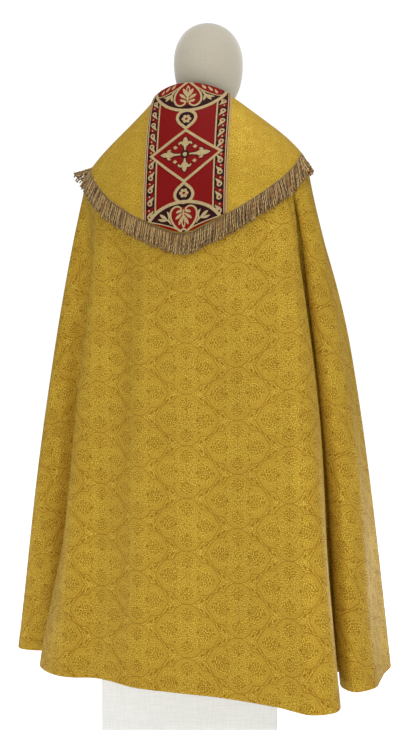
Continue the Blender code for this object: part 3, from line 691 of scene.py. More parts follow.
def damask_material(name, contrast):
    """Damask of gold rayon on cotton, woven: a satin ground with the figure in dull weft.

    The satin floats give a soft sheen; painted highlights of a paler yellow stand in for their
    glints. The figure's lines are duller, browner and lie a little lower, so that they catch a fine
    shadow. A flat metal thread shows as specks that are a little metallic and carry painted glints,
    most of all in the hearts of the medallions. contrast is how strongly the figure stands out of
    the ground.
    """
    cloth = bpy.context.scene.cope_cloth
    made, tree, shader = new_material(name, cloth.ground, 0.47, 0.0, 0.05, 0.12)
    # The floats are transparent gold yarn, so the light that glances off them is gold too.
    for tint in ("Sheen Tint", "Specular Tint"):
        shader.inputs[tint].default_value = (*cloth.light, 1.0)
    size = DAMASK_HEIGHT / cloth.repeat
    point = vector_calc(tree, "MULTIPLY_ADD", cut_place(tree), (size, size, 0.0), DAMASK_START)
    # A half-drop repeat: the second set of medallions stands half a repeat over and down.
    shifted = vector_calc(tree, "ADD", point, (DAMASK_WIDTH / 2, DAMASK_HEIGHT / 2, 0.0))
    group = bpy.data.node_groups.get(MEDALLION) or medallion_group()
    sets = [add_node(tree, "ShaderNodeGroup", (place,), node_tree=group).outputs
            for place in (point, shifted)]
    outside = calc(tree, "MINIMUM", *(one[0] for one in sets))
    figures = [one[1] for one in sets]
    for away, half_width, weight in DAMASK_OUTLINES:
        near = calc(tree, "ABSOLUTE", calc(tree, "SUBTRACT", outside, away))
        figures.append(ramp(tree, near, half_width - 0.6, half_width + 0.6, weight, 0.0,
                            "SMOOTHSTEP"))
    figure = most(tree, figures)
    # Threads lie 0.3 mm apart; the grain is drawn at about 2 mm, so that it shows.
    grain = noise(tree, point, 0.55, 2.0, Roughness=0.6)
    weft = ribs(tree, point, 0.26, 1.0, 1.0)
    # Slow changes of tone over the width of a hand.
    patches = noise(tree, point, 0.009, 1.0)
    ground = blend(tree, ramp(tree, patches, 0.3, 0.7, 0.0, 1.0), cloth.ground_dark, cloth.ground)
    # The floats are longest inside the outline, where the cloth is plain and a little paler.
    rim = ramp(tree, outside, -14.0, -4.0, 0.0, 0.8)
    within = ramp(tree, outside, -1.5, 0.5, 1.0, 0.0)
    plain = calc(tree, "MULTIPLY", rim, within)
    smooth = blend(tree, plain, ground, cloth.plain)
    hearts = ramp(tree, plain, 0.0, 0.8, 1.0, 0.4)
    # Flecks of about 2 mm: the metal thread's glints, painted as paler yellow specks and made a
    # little metallic, and dark gaps between the floats.
    flecks = noise(tree, point, 0.50, 1.5)
    glints = ramp(tree, flecks, 0.50, 0.60, 0.0, 1.0)
    # The medallions' bright spots gather more of the painted glints.
    stars = most(tree, [one[2] for one in sets])
    lit = calc(tree, "MULTIPLY_ADD", stars, 0.6, hearts)
    glint_paint_and_metal = calc(tree, "MULTIPLY", glints, lit, use_clamp=True)
    spots = calc(tree, "MULTIPLY", ramp(tree, flecks, 0.48, 0.38, 0.0, 0.8), hearts)
    # Painted highlight: the glint specks take the paler yellow into the base colour.
    pale = blend(tree, glint_paint_and_metal, smooth, cloth.light)
    share = calc(tree, "MULTIPLY", calc(tree, "MAXIMUM", figure, spots), contrast)
    colour = blend(tree, share, pale, cloth.figure)
    rough = ramp(tree, figure, 0.0, 1.0, 0.46, 0.66)
    thread = calc(tree, "MULTIPLY_ADD", grain, 0.55, calc(tree, "MULTIPLY", figure, -1.0))
    height = calc(tree, "MULTIPLY_ADD", weft, 0.18, thread)
    metal = calc(tree, "MULTIPLY", glint_paint_and_metal, 0.30)
    tree.links.new(metal.outputs[0], shader.inputs["Metallic"])
    finish_shader(tree, shader, colour, rough, height, 0.0004, 0.8)
    return made


def lining_material():
    """Satin lining of gold polyester, plain woven: smooth, with a fine weft rib and a sheen."""
    made, tree, shader = new_material("gold satin lining", linear("#b08c3a"), 0.42, 0.0, 0.25)
    flat = cut_place(tree)
    # Ribs are 0.4 mm apart; they are drawn at 3 mm, so that they show.
    weft = ribs(tree, flat, 105.0, 2.0, 2.0)
    slubs = noise(tree, flat, 60.0, 3.0)
    colour = blend(tree, slubs, linear("#a07c30"), linear("#c09c48"))
    rough = ramp(tree, slubs, 0.2, 0.8, 0.36, 0.50)
    finish_shader(tree, shader, colour, rough, weft, 0.0003, 0.5)
    return made


def embroidery_material(name, colour, deep, roughness, spacing, depth):
    """Rayon thread laid in satin stitch: close parallel floats, bright along their backs, with
    painted shade in a deep colour in the grooves between them.

    spacing is the drawn distance between threads in mm; real ones lie 0.4 mm apart.
    """
    made, tree, shader = new_material(name, colour, roughness, 0.0, 0.0, 0.12)
    flat = cut_place(tree)
    threads = ribs(tree, flat, 314.0 / spacing, 1.5, 2.0)
    wear = noise(tree, flat, 320.0, 3.0)
    share = ramp(tree, calc(tree, "MULTIPLY", threads, wear), 0.05, 0.5, 0.0, 1.0)
    rough = ramp(tree, wear, 0.3, 0.7, roughness - 0.08, roughness + 0.1)
    # The deep colour is painted shade in the grooves between the threads.
    finish_shader(tree, shader, blend(tree, share, deep, colour), rough, threads, depth, 0.7)
    return made


def fringe_material():
    """Bullion fringe of gold rayon round a cotton core: two plies twisted, dull and browned.

    The twist is drawn as pale and dark bands that climb round each strand; the pale bands are a
    painted highlight on the backs of the plies.
    """
    trim = bpy.context.scene.cope_trim
    made, tree, shader = new_material("antique gold fringe", trim.fringe, 0.5, 0.0, 0.1)
    parts = add_node(tree, "ShaderNodeSeparateXYZ", (cut_place(tree),)).outputs
    climb = calc(tree, "MULTIPLY", parts[1], FRINGE_PLY_TURNS)
    phase = calc(tree, "MULTIPLY_ADD", parts[0], 2.0, climb)
    band = calc(tree, "SINE", calc(tree, "MULTIPLY", phase, 2 * math.pi))
    own = add_node(tree, "ShaderNodeAttribute", attribute_name="tone").outputs["Fac"]
    base = blend(tree, ramp(tree, own, 0.1, 0.9, 0.0, 1.0), trim.fringe_dark, trim.fringe)
    # Painted highlight along the backs of the plies.
    colour = blend(tree, ramp(tree, band, -0.2, 0.8, 0.0, 0.9), base, trim.fringe_painted_highlight)
    rough = ramp(tree, band, -1.0, 1.0, 0.62, 0.42)
    finish_shader(tree, shader, colour, rough, band, 0.0004, 0.8)
    return made


def linen_material(name, colour, shade, across, along):
    """Undyed linen, plain woven: slubby threads both ways, quite matt.

    across and along are the drawn spacings in mm of the threads; real ones lie 0.5 mm apart.
    """
    made, tree, shader = new_material(name, colour, 0.88, 0.0, 0.55, 0.3)
    warp = noise(tree, solid_place(tree, (1000 / across, 1000 / across, 30.0)), 1.0, 2.0)
    weft = noise(tree, solid_place(tree, (30.0, 30.0, 1000 / along)), 1.0, 2.0)
    both = calc(tree, "ADD", warp, weft)
    mix = blend(tree, ramp(tree, both, 0.4, 1.2, 0.0, 1.0), shade, colour)
    rough = ramp(tree, both, 0.7, 1.3, 0.95, 0.8)
    finish_shader(tree, shader, mix, rough, both, 0.0002, 0.6)
    return made


def enamel_material():
    """Steel tube and plates, powder-coated in white: an even, faint orange-peel skin."""
    made, tree, shader = new_material("white enamelled steel", linear("#d9d8d2"), 0.4)
    place = solid_place(tree)
    # Orange peel is about 2 mm across.
    peel = noise(tree, place, 480.0, 2.0)
    marks = noise(tree, place, 22.0, 4.0)
    colour = blend(tree, marks, linear("#cfcdc5"), linear("#dfdeda"))
    rough = ramp(tree, marks, 0.3, 0.7, 0.34, 0.5)
    finish_shader(tree, shader, colour, rough, peel, 0.0002, 0.4)
    return made


def brass_material():
    """Cast brass, lacquered over a hand finish: warm metal, duller where it is handled."""
    made, tree, shader = new_material("lacquered brass", linear("#c8a24a"), 0.32, 1.0)
    tarnish = noise(tree, solid_place(tree), 90.0, 5.0)
    # Polishing scratches about 1 mm apart.
    scratches = noise(tree, solid_place(tree, (1100.0, 1100.0, 90.0)), 1.0, 2.0)
    share = ramp(tree, tarnish, 0.35, 0.7, 0.0, 1.0)
    colour = blend(tree, share, linear("#d2ad58"), linear("#a37d34"))
    rough = ramp(tree, tarnish, 0.3, 0.7, 0.25, 0.45)
    finish_shader(tree, shader, colour, rough, scratches, 0.0001, 0.3)
    return made


def paper_material():
    """Seamless background paper, matt white, with the faintest tooth."""
    made, tree, shader = new_material("white background paper", linear("#f4f4f2"), 0.95)
    tooth = noise(tree, solid_place(tree), 150.0, 2.0)
    colour = blend(tree, tooth, linear("#f2f2f0"), linear("#f7f7f6"))
    finish_shader(tree, shader, colour, None, tooth, 0.0002, 0.2)
    # The paper is lit from below, as on a shooting table.
    shader.inputs["Emission Color"].default_value = (1.0, 1.0, 1.0, 1.0)
    shader.inputs["Emission Strength"].default_value = 0.92
    return made


# ---------------------------------------------------------------- the orphrey's ornament
def through(a, b, c, d, t):
    """The point a share t of the way from b to c, on a smooth curve through all four."""
    return 0.5 * (2 * b + (c - a) * t + (2 * a - 5 * b + 4 * c - d) * t ** 2
                  + (3 * b - a - 3 * c + d) * t ** 3)


def smooth_line(points, step=0.0016):
    """A smooth line through a few points, in steps of about a given length."""
    points = np.asarray(points, float)
    ring = np.concatenate([2 * points[:1] - points[1:2], points, 2 * points[-1:] - points[-2:-1]])
    made = []
    for a, b, c, d in zip(ring, ring[1:], ring[2:], ring[3:]):
        parts = max(2, math.ceil(np.linalg.norm(c - b) / step))
        made.append(through(a, b, c, d, (np.arange(parts) / parts)[:, None]))
    return np.concatenate(made + [points[-1:]])


def ribbon(points, width, closed=False, taper=1.0):
    """The outline of a ribbon, its width in mm; a closed one has an outer and an inner loop."""
    points = np.asarray(points, float)
    if closed:
        along = np.roll(points, -1, axis=0) - np.roll(points, 1, axis=0)
    else:
        along = np.gradient(points, axis=0)
    side = unit(np.stack([along[:, 1], -along[:, 0]], axis=-1))
    half = side * (np.linspace(1.0, taper, len(points))[:, None] * (width * MM) / 2)
    if closed:
        return [points + half, points - half]
    return [np.concatenate([points + half, (points - half)[::-1]])]


def disc(across, down, radius, count=22):
    """A disc, placed and sized in mm."""
    turns = 2 * math.pi * np.arange(count) / count
    return [np.stack([across * MM + radius * MM * np.cos(turns),
                      down * MM + radius * MM * np.sin(turns)], axis=-1)]


def leaf(base, tip, width, swell=1.4, bend=0.0):
    """A leaf from its base to its tip in mm, widest past the middle where swell is over 1."""
    base, tip = np.asarray(base, float) * MM, np.asarray(tip, float) * MM
    way = tip - base
    side = unit(np.array([way[1], -way[0]]))
    t = np.linspace(0.0, 1.0, 13)[:, None]
    middle = base + way * t + side * (bend * MM) * np.sin(math.pi * t)
    half = side * (width * MM / 2) * np.sin(math.pi * t ** swell) ** 0.8
    return [np.concatenate([(middle + half)[:-1], (middle - half)[::-1][:-1]])]


def both_sides(shapes):
    return list(shapes) + [[loop * (-1.0, 1.0) for loop in shape] for shape in shapes]


def in_mm(rows):
    return np.array(rows, float) * MM


def mm_line(rows):
    return smooth_line(in_mm(rows))


def palmette(foot, tip, spread):
    """Seven leaves and a stem that fan out from a foot towards a tip, in mm."""
    (x, y), reach = foot, tip[1] - foot[1]
    sign, size = math.copysign(1.0, reach), abs(reach)
    rows = [(0.0, 0.46, 0.0, 1.0, 0.18, 1.0, 0.0)]
    for side in (-1, 1):
        rows += [(side * 0.03, 0.30, side * 0.62, 0.82, 0.14, 1.4, 0.0),
                 (side * 0.04, 0.18, side * 1.05, 0.52, 0.14, 1.4, 0.0),
                 (side * 0.03, 0.10, side * 0.95, 0.20, 0.13, 1.6, side * sign * 2.0)]
    rows.append((0.0, 0.0, 0.0, 0.66, 0.09, 1.0, 0.0))
    return [leaf((x + a * spread, y + sign * b * size), (x + c * spread, y + sign * d * size),
                 width * size, swell, bend) for a, b, c, d, width, swell, bend in rows]


def sprig(stem, leaves):
    """A stem that widens into leaves, each from a root to a tip with a width and a bend, in mm."""
    made = [ribbon(mm_line(stem[::-1]), 6.0, taper=0.25)]
    return made + [leaf(root, tip, width, 1.3, bend) for root, tip, width, bend in leaves]


def fleur(reach, spread, across_way, grown=0.0):
    """One arm of the cross: a flaring stem, a pointed leaf and a curling leaf at each side, in mm.

    across_way is the arm's direction, and grown widens every part for the ground behind it.
    """
    way = np.array(across_way, float)
    side = np.array([way[1], -way[0]])

    def spot(along, aside):
        return way * along + side * aside

    flare = [(10.0, 1.7), (0.36 * reach, 2.2), (0.50 * reach, 3.9), (0.62 * reach, 8.2)]
    rows = [(along, aside + grown) for along, aside in flare]
    rows += [(along, -aside) for along, aside in rows[::-1]]
    made = [[in_mm([spot(*row) for row in rows])],
            leaf(spot(0.56 * reach, 0.0), spot(reach + grown, 0.0), 11.5 + 2 * grown, 0.9)]
    for hand in (-1, 1):
        curl = mm_line([spot(0.54 * reach, hand * 2.0), spot(0.66 * reach, hand * 0.48 * spread),
                        spot(0.66 * reach, hand * 0.84 * spread),
                        spot(0.57 * reach, hand * (spread + grown))])
        made.append(ribbon(curl, 8.0 + 2 * grown, taper=0.45))
    return made


# The lozenge stands in the middle of the band. Distances are in mm, down from the neck edge.
LOZENGE_DOWN, LOZENGE_HALF_WIDTH, LOZENGE_HALF_HEIGHT, FRAME_WIDTH = 195.5, 83.0, 63.0, 6.2
CROSS_DOWN = LOZENGE_DOWN - 2.5
ROUNDS = {True: (-8.0, 88.0), False: (405.0, 98.0)}      # by top: where its middle lies, radius
KNOT_DOWN = 379.0
FLOWERS_DOWN = (103.0, 2 * LOZENGE_DOWN - 104.5)
# Paisleys of the borders: how far each head lies above and below the lozenge's middle.
PAISLEY_OFFSETS = (24.5, 53.0, 83.0, 114.0, 147.0)
HEART = ((0.0, -3.0), (9.0, 5.0), (21.0, 18.0), (29.5, 34.0), (31.0, 50.0), (26.0, 62.0),
         (16.0, 67.5), (7.0, 63.5), (5.0, 56.5), (9.5, 53.0), (13.0, 56.0))
HEART_CURL = 14                 # points of the heart's line that lie within its curl
LOOP = ((0.0, 127.5), (8.0, 120.5), (16.5, 112.0), (21.2, 101.0), (18.5, 90.0), (10.0, 83.0),
        (0.0, 80.5))
# The thin line that runs from beside a heart's point out along the band's end, by top.
SLIVERS = {True: ((7.0, 0.0), (16.0, 10.0), (27.0, 18.0), (42.0, 25.5), (57.0, 30.0),
                  (70.0, 30.5), (78.0, 26.0)),
           False: ((6.0, 377.0), (25.0, 367.5), (44.0, 361.5), (62.0, 357.5), (80.0, 355.0))}
# Sprigs: the stem, then each leaf's root, tip, width and bend.
SPRIGS = ((((29.0, 22.5), (33.0, 26.0), (37.5, 31.0)),
           (((36.5, 29.0), (36.0, 53.0), 6.0, 2.5), ((37.5, 30.5), (54.0, 49.0), 7.5, 0.0),
            ((37.0, 30.5), (60.5, 37.0), 6.0, -3.0))),
          (((29.5, 360.0), (33.0, 354.5), (38.0, 348.0)),
           (((36.5, 351.0), (39.5, 328.5), 6.0, 4.0), ((37.5, 349.5), (57.0, 335.5), 7.5, 0.0),
            ((36.5, 349.5), (62.0, 347.5), 6.0, -1.5))))
# Leaves whose tips only show, as the neck edge cuts them off.
NECK_LEAVES = (((29.0, 3.0), (40.0, 15.5)), ((44.0, 5.0), (55.0, 19.0)),
               ((60.0, 10.0), (66.0, 24.5)))


def heart_line(top):
    """The heart's half line; the lower heart is the upper one, mirrored down the band."""
    line = in_mm(HEART)
    if not top:
        line = line * (1.0, -0.94) + np.array([0.0, 381.0]) * MM
    return smooth_line(line)


def loop_line(top):
    """The whole teardrop loop between a half-roundel and the lozenge."""
    line = in_mm(LOOP)
    if not top:
        line = line * (1.0, -1.0) + np.array([0.0, 2 * LOZENGE_DOWN - 1.5]) * MM
    half = smooth_line(line)
    return np.concatenate([half, (half * (-1.0, 1.0))[::-1][1:-1]])


def rhombus(grown):
    """The lozenge's loop, grown by mm to its outside."""
    reach = LOZENGE_HALF_WIDTH * LOZENGE_HALF_HEIGHT / math.hypot(LOZENGE_HALF_WIDTH,
                                                                 LOZENGE_HALF_HEIGHT)
    corners = in_mm([(0.0, -LOZENGE_HALF_HEIGHT), (LOZENGE_HALF_WIDTH, 0.0),
                     (0.0, LOZENGE_HALF_HEIGHT), (-LOZENGE_HALF_WIDTH, 0.0)])
    corners = corners * (1.0 + grown / reach) + np.array([0.0, LOZENGE_DOWN]) * MM
    t = (np.arange(24) / 24)[:, None]
    return np.concatenate([a + (b - a) * t for a, b in zip(corners, np.roll(corners, -1, 0))])


def stripe(inner, outer):
    """A stripe down each side of the band, between two distances from its middle, in mm."""
    rows = np.linspace(-2.0, 392.0, 80)
    loop = np.concatenate([np.stack([np.full(len(rows), inner), rows], -1),
                           np.stack([np.full(len(rows), outer), rows[::-1]], -1)])
    return both_sides([[loop * MM]])


def paisleys(part):
    """The border's comma shapes on both sides; part is "head", "eye", "drop" or "swoosh"."""
    made = []
    for towards in (1, -1):             # tails sweep towards the lozenge
        for offset in PAISLEY_OFFSETS:
            down = LOZENGE_DOWN - towards * offset

            def sweep(*rows):
                return mm_line([(across, down + towards * along) for across, along in rows])

            if part == "head":
                tail = sweep((82.8, 0.0), (80.6, 5.5), (76.6, 10.5), (73.0, 16.0))
                made += [disc(82.3, down, 6.4), ribbon(tail, 11.5, taper=0.05)]
            elif part == "eye":
                made.append(disc(82.6, down - towards * 0.4, 2.7, 12))
            elif part == "drop":
                made.append(disc(84.0, down + towards * 15.4, 2.1, 12))
            else:
                made.append(ribbon(sweep((90.5, 9.5), (84.0, 15.0), (77.0, 19.5), (72.0, 26.0)),
                                   10.5, taper=0.35))
    return both_sides(made)


def flower(down, petals=6):
    made = [disc(0.0, down, 6.2)]
    for petal in range(petals):
        turn = 2 * math.pi * (petal + 0.5) / petals
        made.append(disc(7.4 * math.sin(turn), down + 7.4 * math.cos(turn), 3.7, 16))
    return made


def half_round(top, inner, outer):
    """A half-roundel's ring, between two distances in mm from its line, or its whole disc."""
    down, radius = ROUNDS[top]
    hole = [] if inner is None else disc(0.0, down, radius + inner, 200)
    return disc(0.0, down, radius + outer, 220) + hole


def cross(grown):
    arms = []
    for way, reach, spread in (((0.0, -1.0), 43.0, 15.0), ((0.0, 1.0), 43.0, 15.0),
                               ((-1.0, 0.0), 59.0, 11.5), ((1.0, 0.0), 59.0, 11.5)):
        arms += fleur(reach, spread, way, grown)
    return [[loop + np.array([0.0, CROSS_DOWN]) * MM for loop in shape] for shape in arms]


def ornament(layer):
    """The shapes of one layer of the ornament: maroon, red and gold, and what they leave out."""
    if layer == "maroon":
        return ([half_round(top, None, -3.0) for top in (True, False)]
                + [[loop_line(top)] for top in (True, False)] + ornament("ground"))
    if layer == "red":
        halves = [heart_line(top)[:-HEART_CURL] for top in (True, False)]
        shapes = [[np.concatenate([half, (half * (-1.0, 1.0))[::-1]])] for half in halves]
        shapes.append([rhombus(0.0)])
        for top, end in ((True, -3.0), (False, 396.0)):
            line = mm_line(SLIVERS[top])
            shapes += both_sides([[np.concatenate([line, in_mm([(80.0, end), (6.0, end)])])]])
        return shapes
    if layer == "ground":
        return cross(2.4) + [disc(0.0, CROSS_DOWN, 10.0), disc(0.0, KNOT_DOWN, 8.0)]
    if layer == "eyes":
        return (paisleys("eye") + [disc(0.0, down, 3.6, 16) for down in FLOWERS_DOWN]
                + [leaf((0.0, 33.0), (0.0, 15.0), 4.2), leaf((0.0, 347.0), (0.0, 364.0), 4.2)])
    shapes = [half_round(top, -3.6, 3.8) for top in (True, False)]
    for top in (True, False):
        shapes += both_sides([ribbon(heart_line(top), 5.1, taper=0.75)])
        shapes.append(ribbon(loop_line(top), 6.8, closed=True))
        shapes += both_sides([ribbon(mm_line(SLIVERS[top]), 2.4)])
    shapes.append([rhombus(FRAME_WIDTH / 2), rhombus(-FRAME_WIDTH / 2)])
    shapes += cross(0.0) + [disc(0.0, CROSS_DOWN, 5.0)]
    shapes.append(disc(0.0, KNOT_DOWN, 8.6) + disc(0.0, KNOT_DOWN, 4.8))
    for across, down in ((-23.0, -17.5), (23.0, -17.5), (-23.0, 17.5), (23.0, 17.5)):
        corner = in_mm([(5.4, 0.0), (0.0, 4.8), (-5.4, 0.0), (0.0, -4.8)])
        shapes.append([corner + np.array([across, CROSS_DOWN + down]) * MM])
    for down in FLOWERS_DOWN:
        shapes += flower(down)
    shapes += palmette((0.0, 60.0), (0.0, 9.0), 18.5) + palmette((0.0, 324.0), (0.0, 371.0), 18.5)
    for stem, leaves in SPRIGS:
        shapes += both_sides(sprig(stem, leaves))
    for root, tip in NECK_LEAVES:
        shapes += both_sides([leaf(root, tip, 6.5, 1.3)])
    return shapes


def border(layer):
    """The shapes of one layer of the borders, which run under the lozenge and half-roundels."""
    if layer == "maroon":
        return stripe(70.0, 92.5)
    if layer == "red":
        return paisleys("swoosh") + stripe(94.8, 96.8)
    if layer == "gold":
        return (stripe(66.7, 70.0) + stripe(92.5, 94.8) + stripe(96.8, 100.5)
                + paisleys("head") + paisleys("drop"))
    return []


def inside(points, loop):
    """Which points lie inside a loop, by counting the edges to the right of each."""
    x, y = points[:, :1], points[:, 1:]
    ax, ay = loop[:, 0][None], loop[:, 1][None]
    bx, by = np.roll(ax, -1, axis=1), np.roll(ay, -1, axis=1)
    spans = (ay > y) != (by > y)
    rise = np.where(by == ay, 1.0, by - ay)
    return np.sum(spans & (x < (bx - ax) * (y - ay) / rise + ax), axis=1) % 2 == 1


def cover(points, shapes):
    """Which points lie in the union of shapes; a loop within a shape's loop is a hole."""
    found = np.zeros(len(points), bool)
    for shape in shapes:
        odd = np.zeros(len(points), bool)
        for loop in shape:
            near = np.all((points >= loop.min(0)) & (points <= loop.max(0)), axis=1)
            odd[near] ^= inside(points[near], loop)
        found |= odd
    return found


def add_patch(name, shapes, low, high, materials, eyes, under, masks):
    """The union of shapes, cut to the band, as one thin closed piece between two lifts.

    It is cut out round the eyes. Shapes that run under the masks are added outside them.
    """
    columns = np.linspace(-BAND_HALF_WIDTH, BAND_HALF_WIDTH, 50)
    foot = np.stack([columns, PANEL.edge(columns)], axis=-1)
    rows = np.linspace(0.0, 1.0, 60)[1:-1]
    left = np.stack([np.full(len(rows), columns[0]), rows * foot[0, 1]], axis=-1)
    right = np.stack([np.full(len(rows), columns[-1]), rows[::-1] * foot[-1, 1]], axis=-1)
    head = np.stack([columns[::-1], np.zeros(len(columns))], axis=-1)
    band = np.concatenate([left, foot, right, head])
    spots = np.stack(np.meshgrid(np.arange(-0.099, 0.1, PATCH_GRID),
                                 np.arange(0.002, 0.385, PATCH_GRID)), axis=-1).reshape(-1, 2)
    loops = [loop for group in (shapes, eyes, under, masks) for shape in group
             for loop in shape] + [band]
    edges, count = [], 0
    for loop in loops:
        edges += [(count + i, count + (i + 1) % len(loop)) for i in range(len(loop))]
        count += len(loop)
    made = delaunay_2d_cdt(np.concatenate(loops + [spots]).tolist(), edges, [], 1, 1e-6)
    points, triangles = np.array(made[0]), np.array(made[2])
    middles = points[triangles].mean(axis=1)
    kept = cover(middles, shapes) | (cover(middles, under) & ~cover(middles, masks))
    kept &= cover(middles, [[band]]) & ~cover(middles, eyes)
    triangles = triangles[kept]
    a, b, c = (points[triangles[:, k]] for k in range(3))
    area = (b[:, 0] - a[:, 0]) * (c[:, 1] - a[:, 1]) - (b[:, 1] - a[:, 1]) * (c[:, 0] - a[:, 0])
    # Out of the cloth is down the band crossed with along it, so the turn is clockwise here.
    triangles = np.where((area > 0.0)[:, None], triangles[:, ::-1], triangles)
    used, triangles = np.unique(triangles, return_inverse=True)
    triangles = triangles.reshape(-1, 3)
    points = points[used]
    count = len(points)
    directed = {(int(t[k]), int(t[(k + 1) % 3])) for t in triangles for k in range(3)}
    walls = sorted((j, i, i + count, j + count) for i, j in directed if (j, i) not in directed)
    faces = triangles.tolist() + (triangles[:, ::-1] + count).tolist() + walls
    top, bottom = (PANEL.point(points[:, 0], points[:, 1], lift) for lift in (high, low))
    return new_object(name, np.concatenate([top, bottom]), faces, materials,
                      np.concatenate([points, points]), sharp=40)


# ---------------------------------------------------------------- repeated pieces
def new_tree(name, sizes):
    """A Geometry Nodes tree with a geometry in and out, and a named input for each size."""
    tree = bpy.data.node_groups.new(name, "GeometryNodeTree")
    for label, way, kind in (("Geometry", "INPUT", "Geometry"), ("Geometry", "OUTPUT", "Geometry"),
                             *((label, "INPUT", kind) for label, kind in sizes)):
        tree.interface.new_socket(label, in_out=way, socket_type="NodeSocket" + kind)
    return tree, add_node(tree, "NodeGroupInput").outputs


def store(tree, geometry, name, value, kind="FLOAT", domain="POINT"):
    """Store a named attribute."""
    return add_node(tree, "GeometryNodeStoreNamedAttribute",
                    {"Geometry": geometry, "Name": name, "Value": value},
                    data_type=kind, domain=domain)


def named(tree, name, kind="FLOAT_VECTOR"):
    """Read a named attribute."""
    return add_node(tree, "GeometryNodeInputNamedAttribute", {"Name": name}, data_type=kind)


def chance(tree, low, high, seed):
    """A random value for each instance."""
    return add_node(tree, "FunctionNodeRandomValue", {"Min": low, "Max": high, "Seed": seed},
                    data_type="FLOAT")


def mapped(tree, shape):
    """A primitive with its own flat coordinates under the cloth's name."""
    return store(tree, shape.outputs["Mesh"], "cloth", shape.outputs["UV Map"], "FLOAT2", "CORNER")


def facing(tree, along, out, axes):
    """The rotation that lays an instance along one named attribute and faces it to another."""
    return add_node(tree, "FunctionNodeAxesToRotation", [named(tree, along), named(tree, out)],
                    primary_axis=axes[0], secondary_axis=axes[1])


def scaled(tree, vector, scale):
    return add_node(tree, "ShaderNodeVectorMath", {0: vector, "Scale": scale}, operation="SCALE")


def combine(tree, *parts):
    return add_node(tree, "ShaderNodeCombineXYZ", parts)


def end_tree(tree, geometry, material):
    """Set the material and close the tree."""
    final = add_node(tree, "GeometryNodeSetMaterial", {"Geometry": geometry, "Material": material})
    add_node(tree, "NodeGroupOutput", (final,))
    return tree


def strands_tree():
    """Twisted strands that hang from points, each along its own "up" attribute."""
    tree, given = new_tree("fringe strands", (
        ("Strand Length", "Float"), ("Strand Radius", "Float"), ("Twist", "Float"),
        ("Wildness", "Float"), ("Seed", "Int"), ("Material", "Material")))
    strand = add_node(tree, "GeometryNodeMeshCylinder", {
        "Vertices": 6, "Side Segments": 8, "Radius": 1.0, "Depth": 1.0},
        fill_type="TRIANGLE_FAN")
    spot = add_node(tree, "ShaderNodeSeparateXYZ",
                    (add_node(tree, "GeometryNodeInputPosition"),)).outputs
    drop = calc(tree, "SUBTRACT", 0.5, spot[2])
    marked = store(tree, mapped(tree, strand), "drop", drop)
    # A flattened section that turns as it goes down, as two twisted plies do.
    wide, narrow = (calc(tree, "MULTIPLY", spot[axis], reach)
                    for axis, reach in enumerate(STRAND_SECTION))
    thick = scaled(tree, combine(tree, wide, narrow, 0.0), given["Strand Radius"])
    turned = add_node(tree, "ShaderNodeVectorRotate", {
        "Vector": thick, "Angle": calc(tree, "MULTIPLY", drop, given["Twist"])},
        rotation_type="Z_AXIS")
    fall = calc(tree, "MULTIPLY", drop, given["Strand Length"])
    hang = combine(tree, 0.0, 0.0, calc(tree, "MULTIPLY", fall, -1.0))
    shaped = add_node(tree, "GeometryNodeSetPosition", {
        "Geometry": marked, "Position": vector_calc(tree, "ADD", turned, hang)})
    spin = chance(tree, 0.0, 2 * math.pi, given["Seed"])
    turn = add_node(tree, "FunctionNodeRotateRotation", (
        facing(tree, "up", "out", "ZX"),
        add_node(tree, "FunctionNodeAxisAngleToRotation", {"Angle": spin})),
        rotation_space="LOCAL")
    length = chance(tree, *STRAND_LENGTHS, given["Seed"])
    put = add_node(tree, "GeometryNodeInstanceOnPoints", {
        "Points": given["Geometry"], "Instance": shaped, "Rotation": turn,
        "Scale": combine(tree, 1.0, 1.0, length)})
    # Bundles of strands differ in tone.
    toned = store(tree, put, "tone", chance(tree, 0.0, 1.0, given["Seed"]), domain="INSTANCE")
    real = add_node(tree, "GeometryNodeRealizeInstances", {"Geometry": toned})
    # Each strand strays from its line, more and more towards its tip.
    where = add_node(tree, "GeometryNodeInputPosition")
    field = add_node(tree, "ShaderNodeTexNoise", {"Vector": where, "W": given["Seed"],
                                                  "Scale": 95.0, "Detail": 1.0},
                     noise_dimensions="4D").outputs["Color"]
    stray = vector_calc(tree, "SUBTRACT", field, (0.5, 0.5, 0.5))
    tips = calc(tree, "POWER", named(tree, "drop", "FLOAT"), 1.6)
    strays = calc(tree, "MULTIPLY", tips, given["Wildness"])
    much = calc(tree, "MULTIPLY", strays, named(tree, "loose"))
    strewn = add_node(tree, "GeometryNodeSetPosition", {"Geometry": real,
                                                        "Offset": scaled(tree, stray, much)})
    return end_tree(tree, strewn, given["Material"])


def stitches_tree():
    """Small rounded stitches on points, each lying along its "way" attribute."""
    tree, given = new_tree("stitches", (("Stitch Length", "Float"), ("Stitch Thickness", "Float"),
                                        ("Material", "Material")))
    bead = add_node(tree, "GeometryNodeMeshUVSphere", {"Segments": 6, "Rings": 4, "Radius": 0.5})
    thick = given["Stitch Thickness"]
    put = add_node(tree, "GeometryNodeInstanceOnPoints", {
        "Points": given["Geometry"], "Instance": mapped(tree, bead),
        "Scale": combine(tree, given["Stitch Length"], thick, thick),
        "Rotation": facing(tree, "way", "out", "XZ")})
    real = add_node(tree, "GeometryNodeRealizeInstances", {"Geometry": put})
    return end_tree(tree, real, given["Material"])


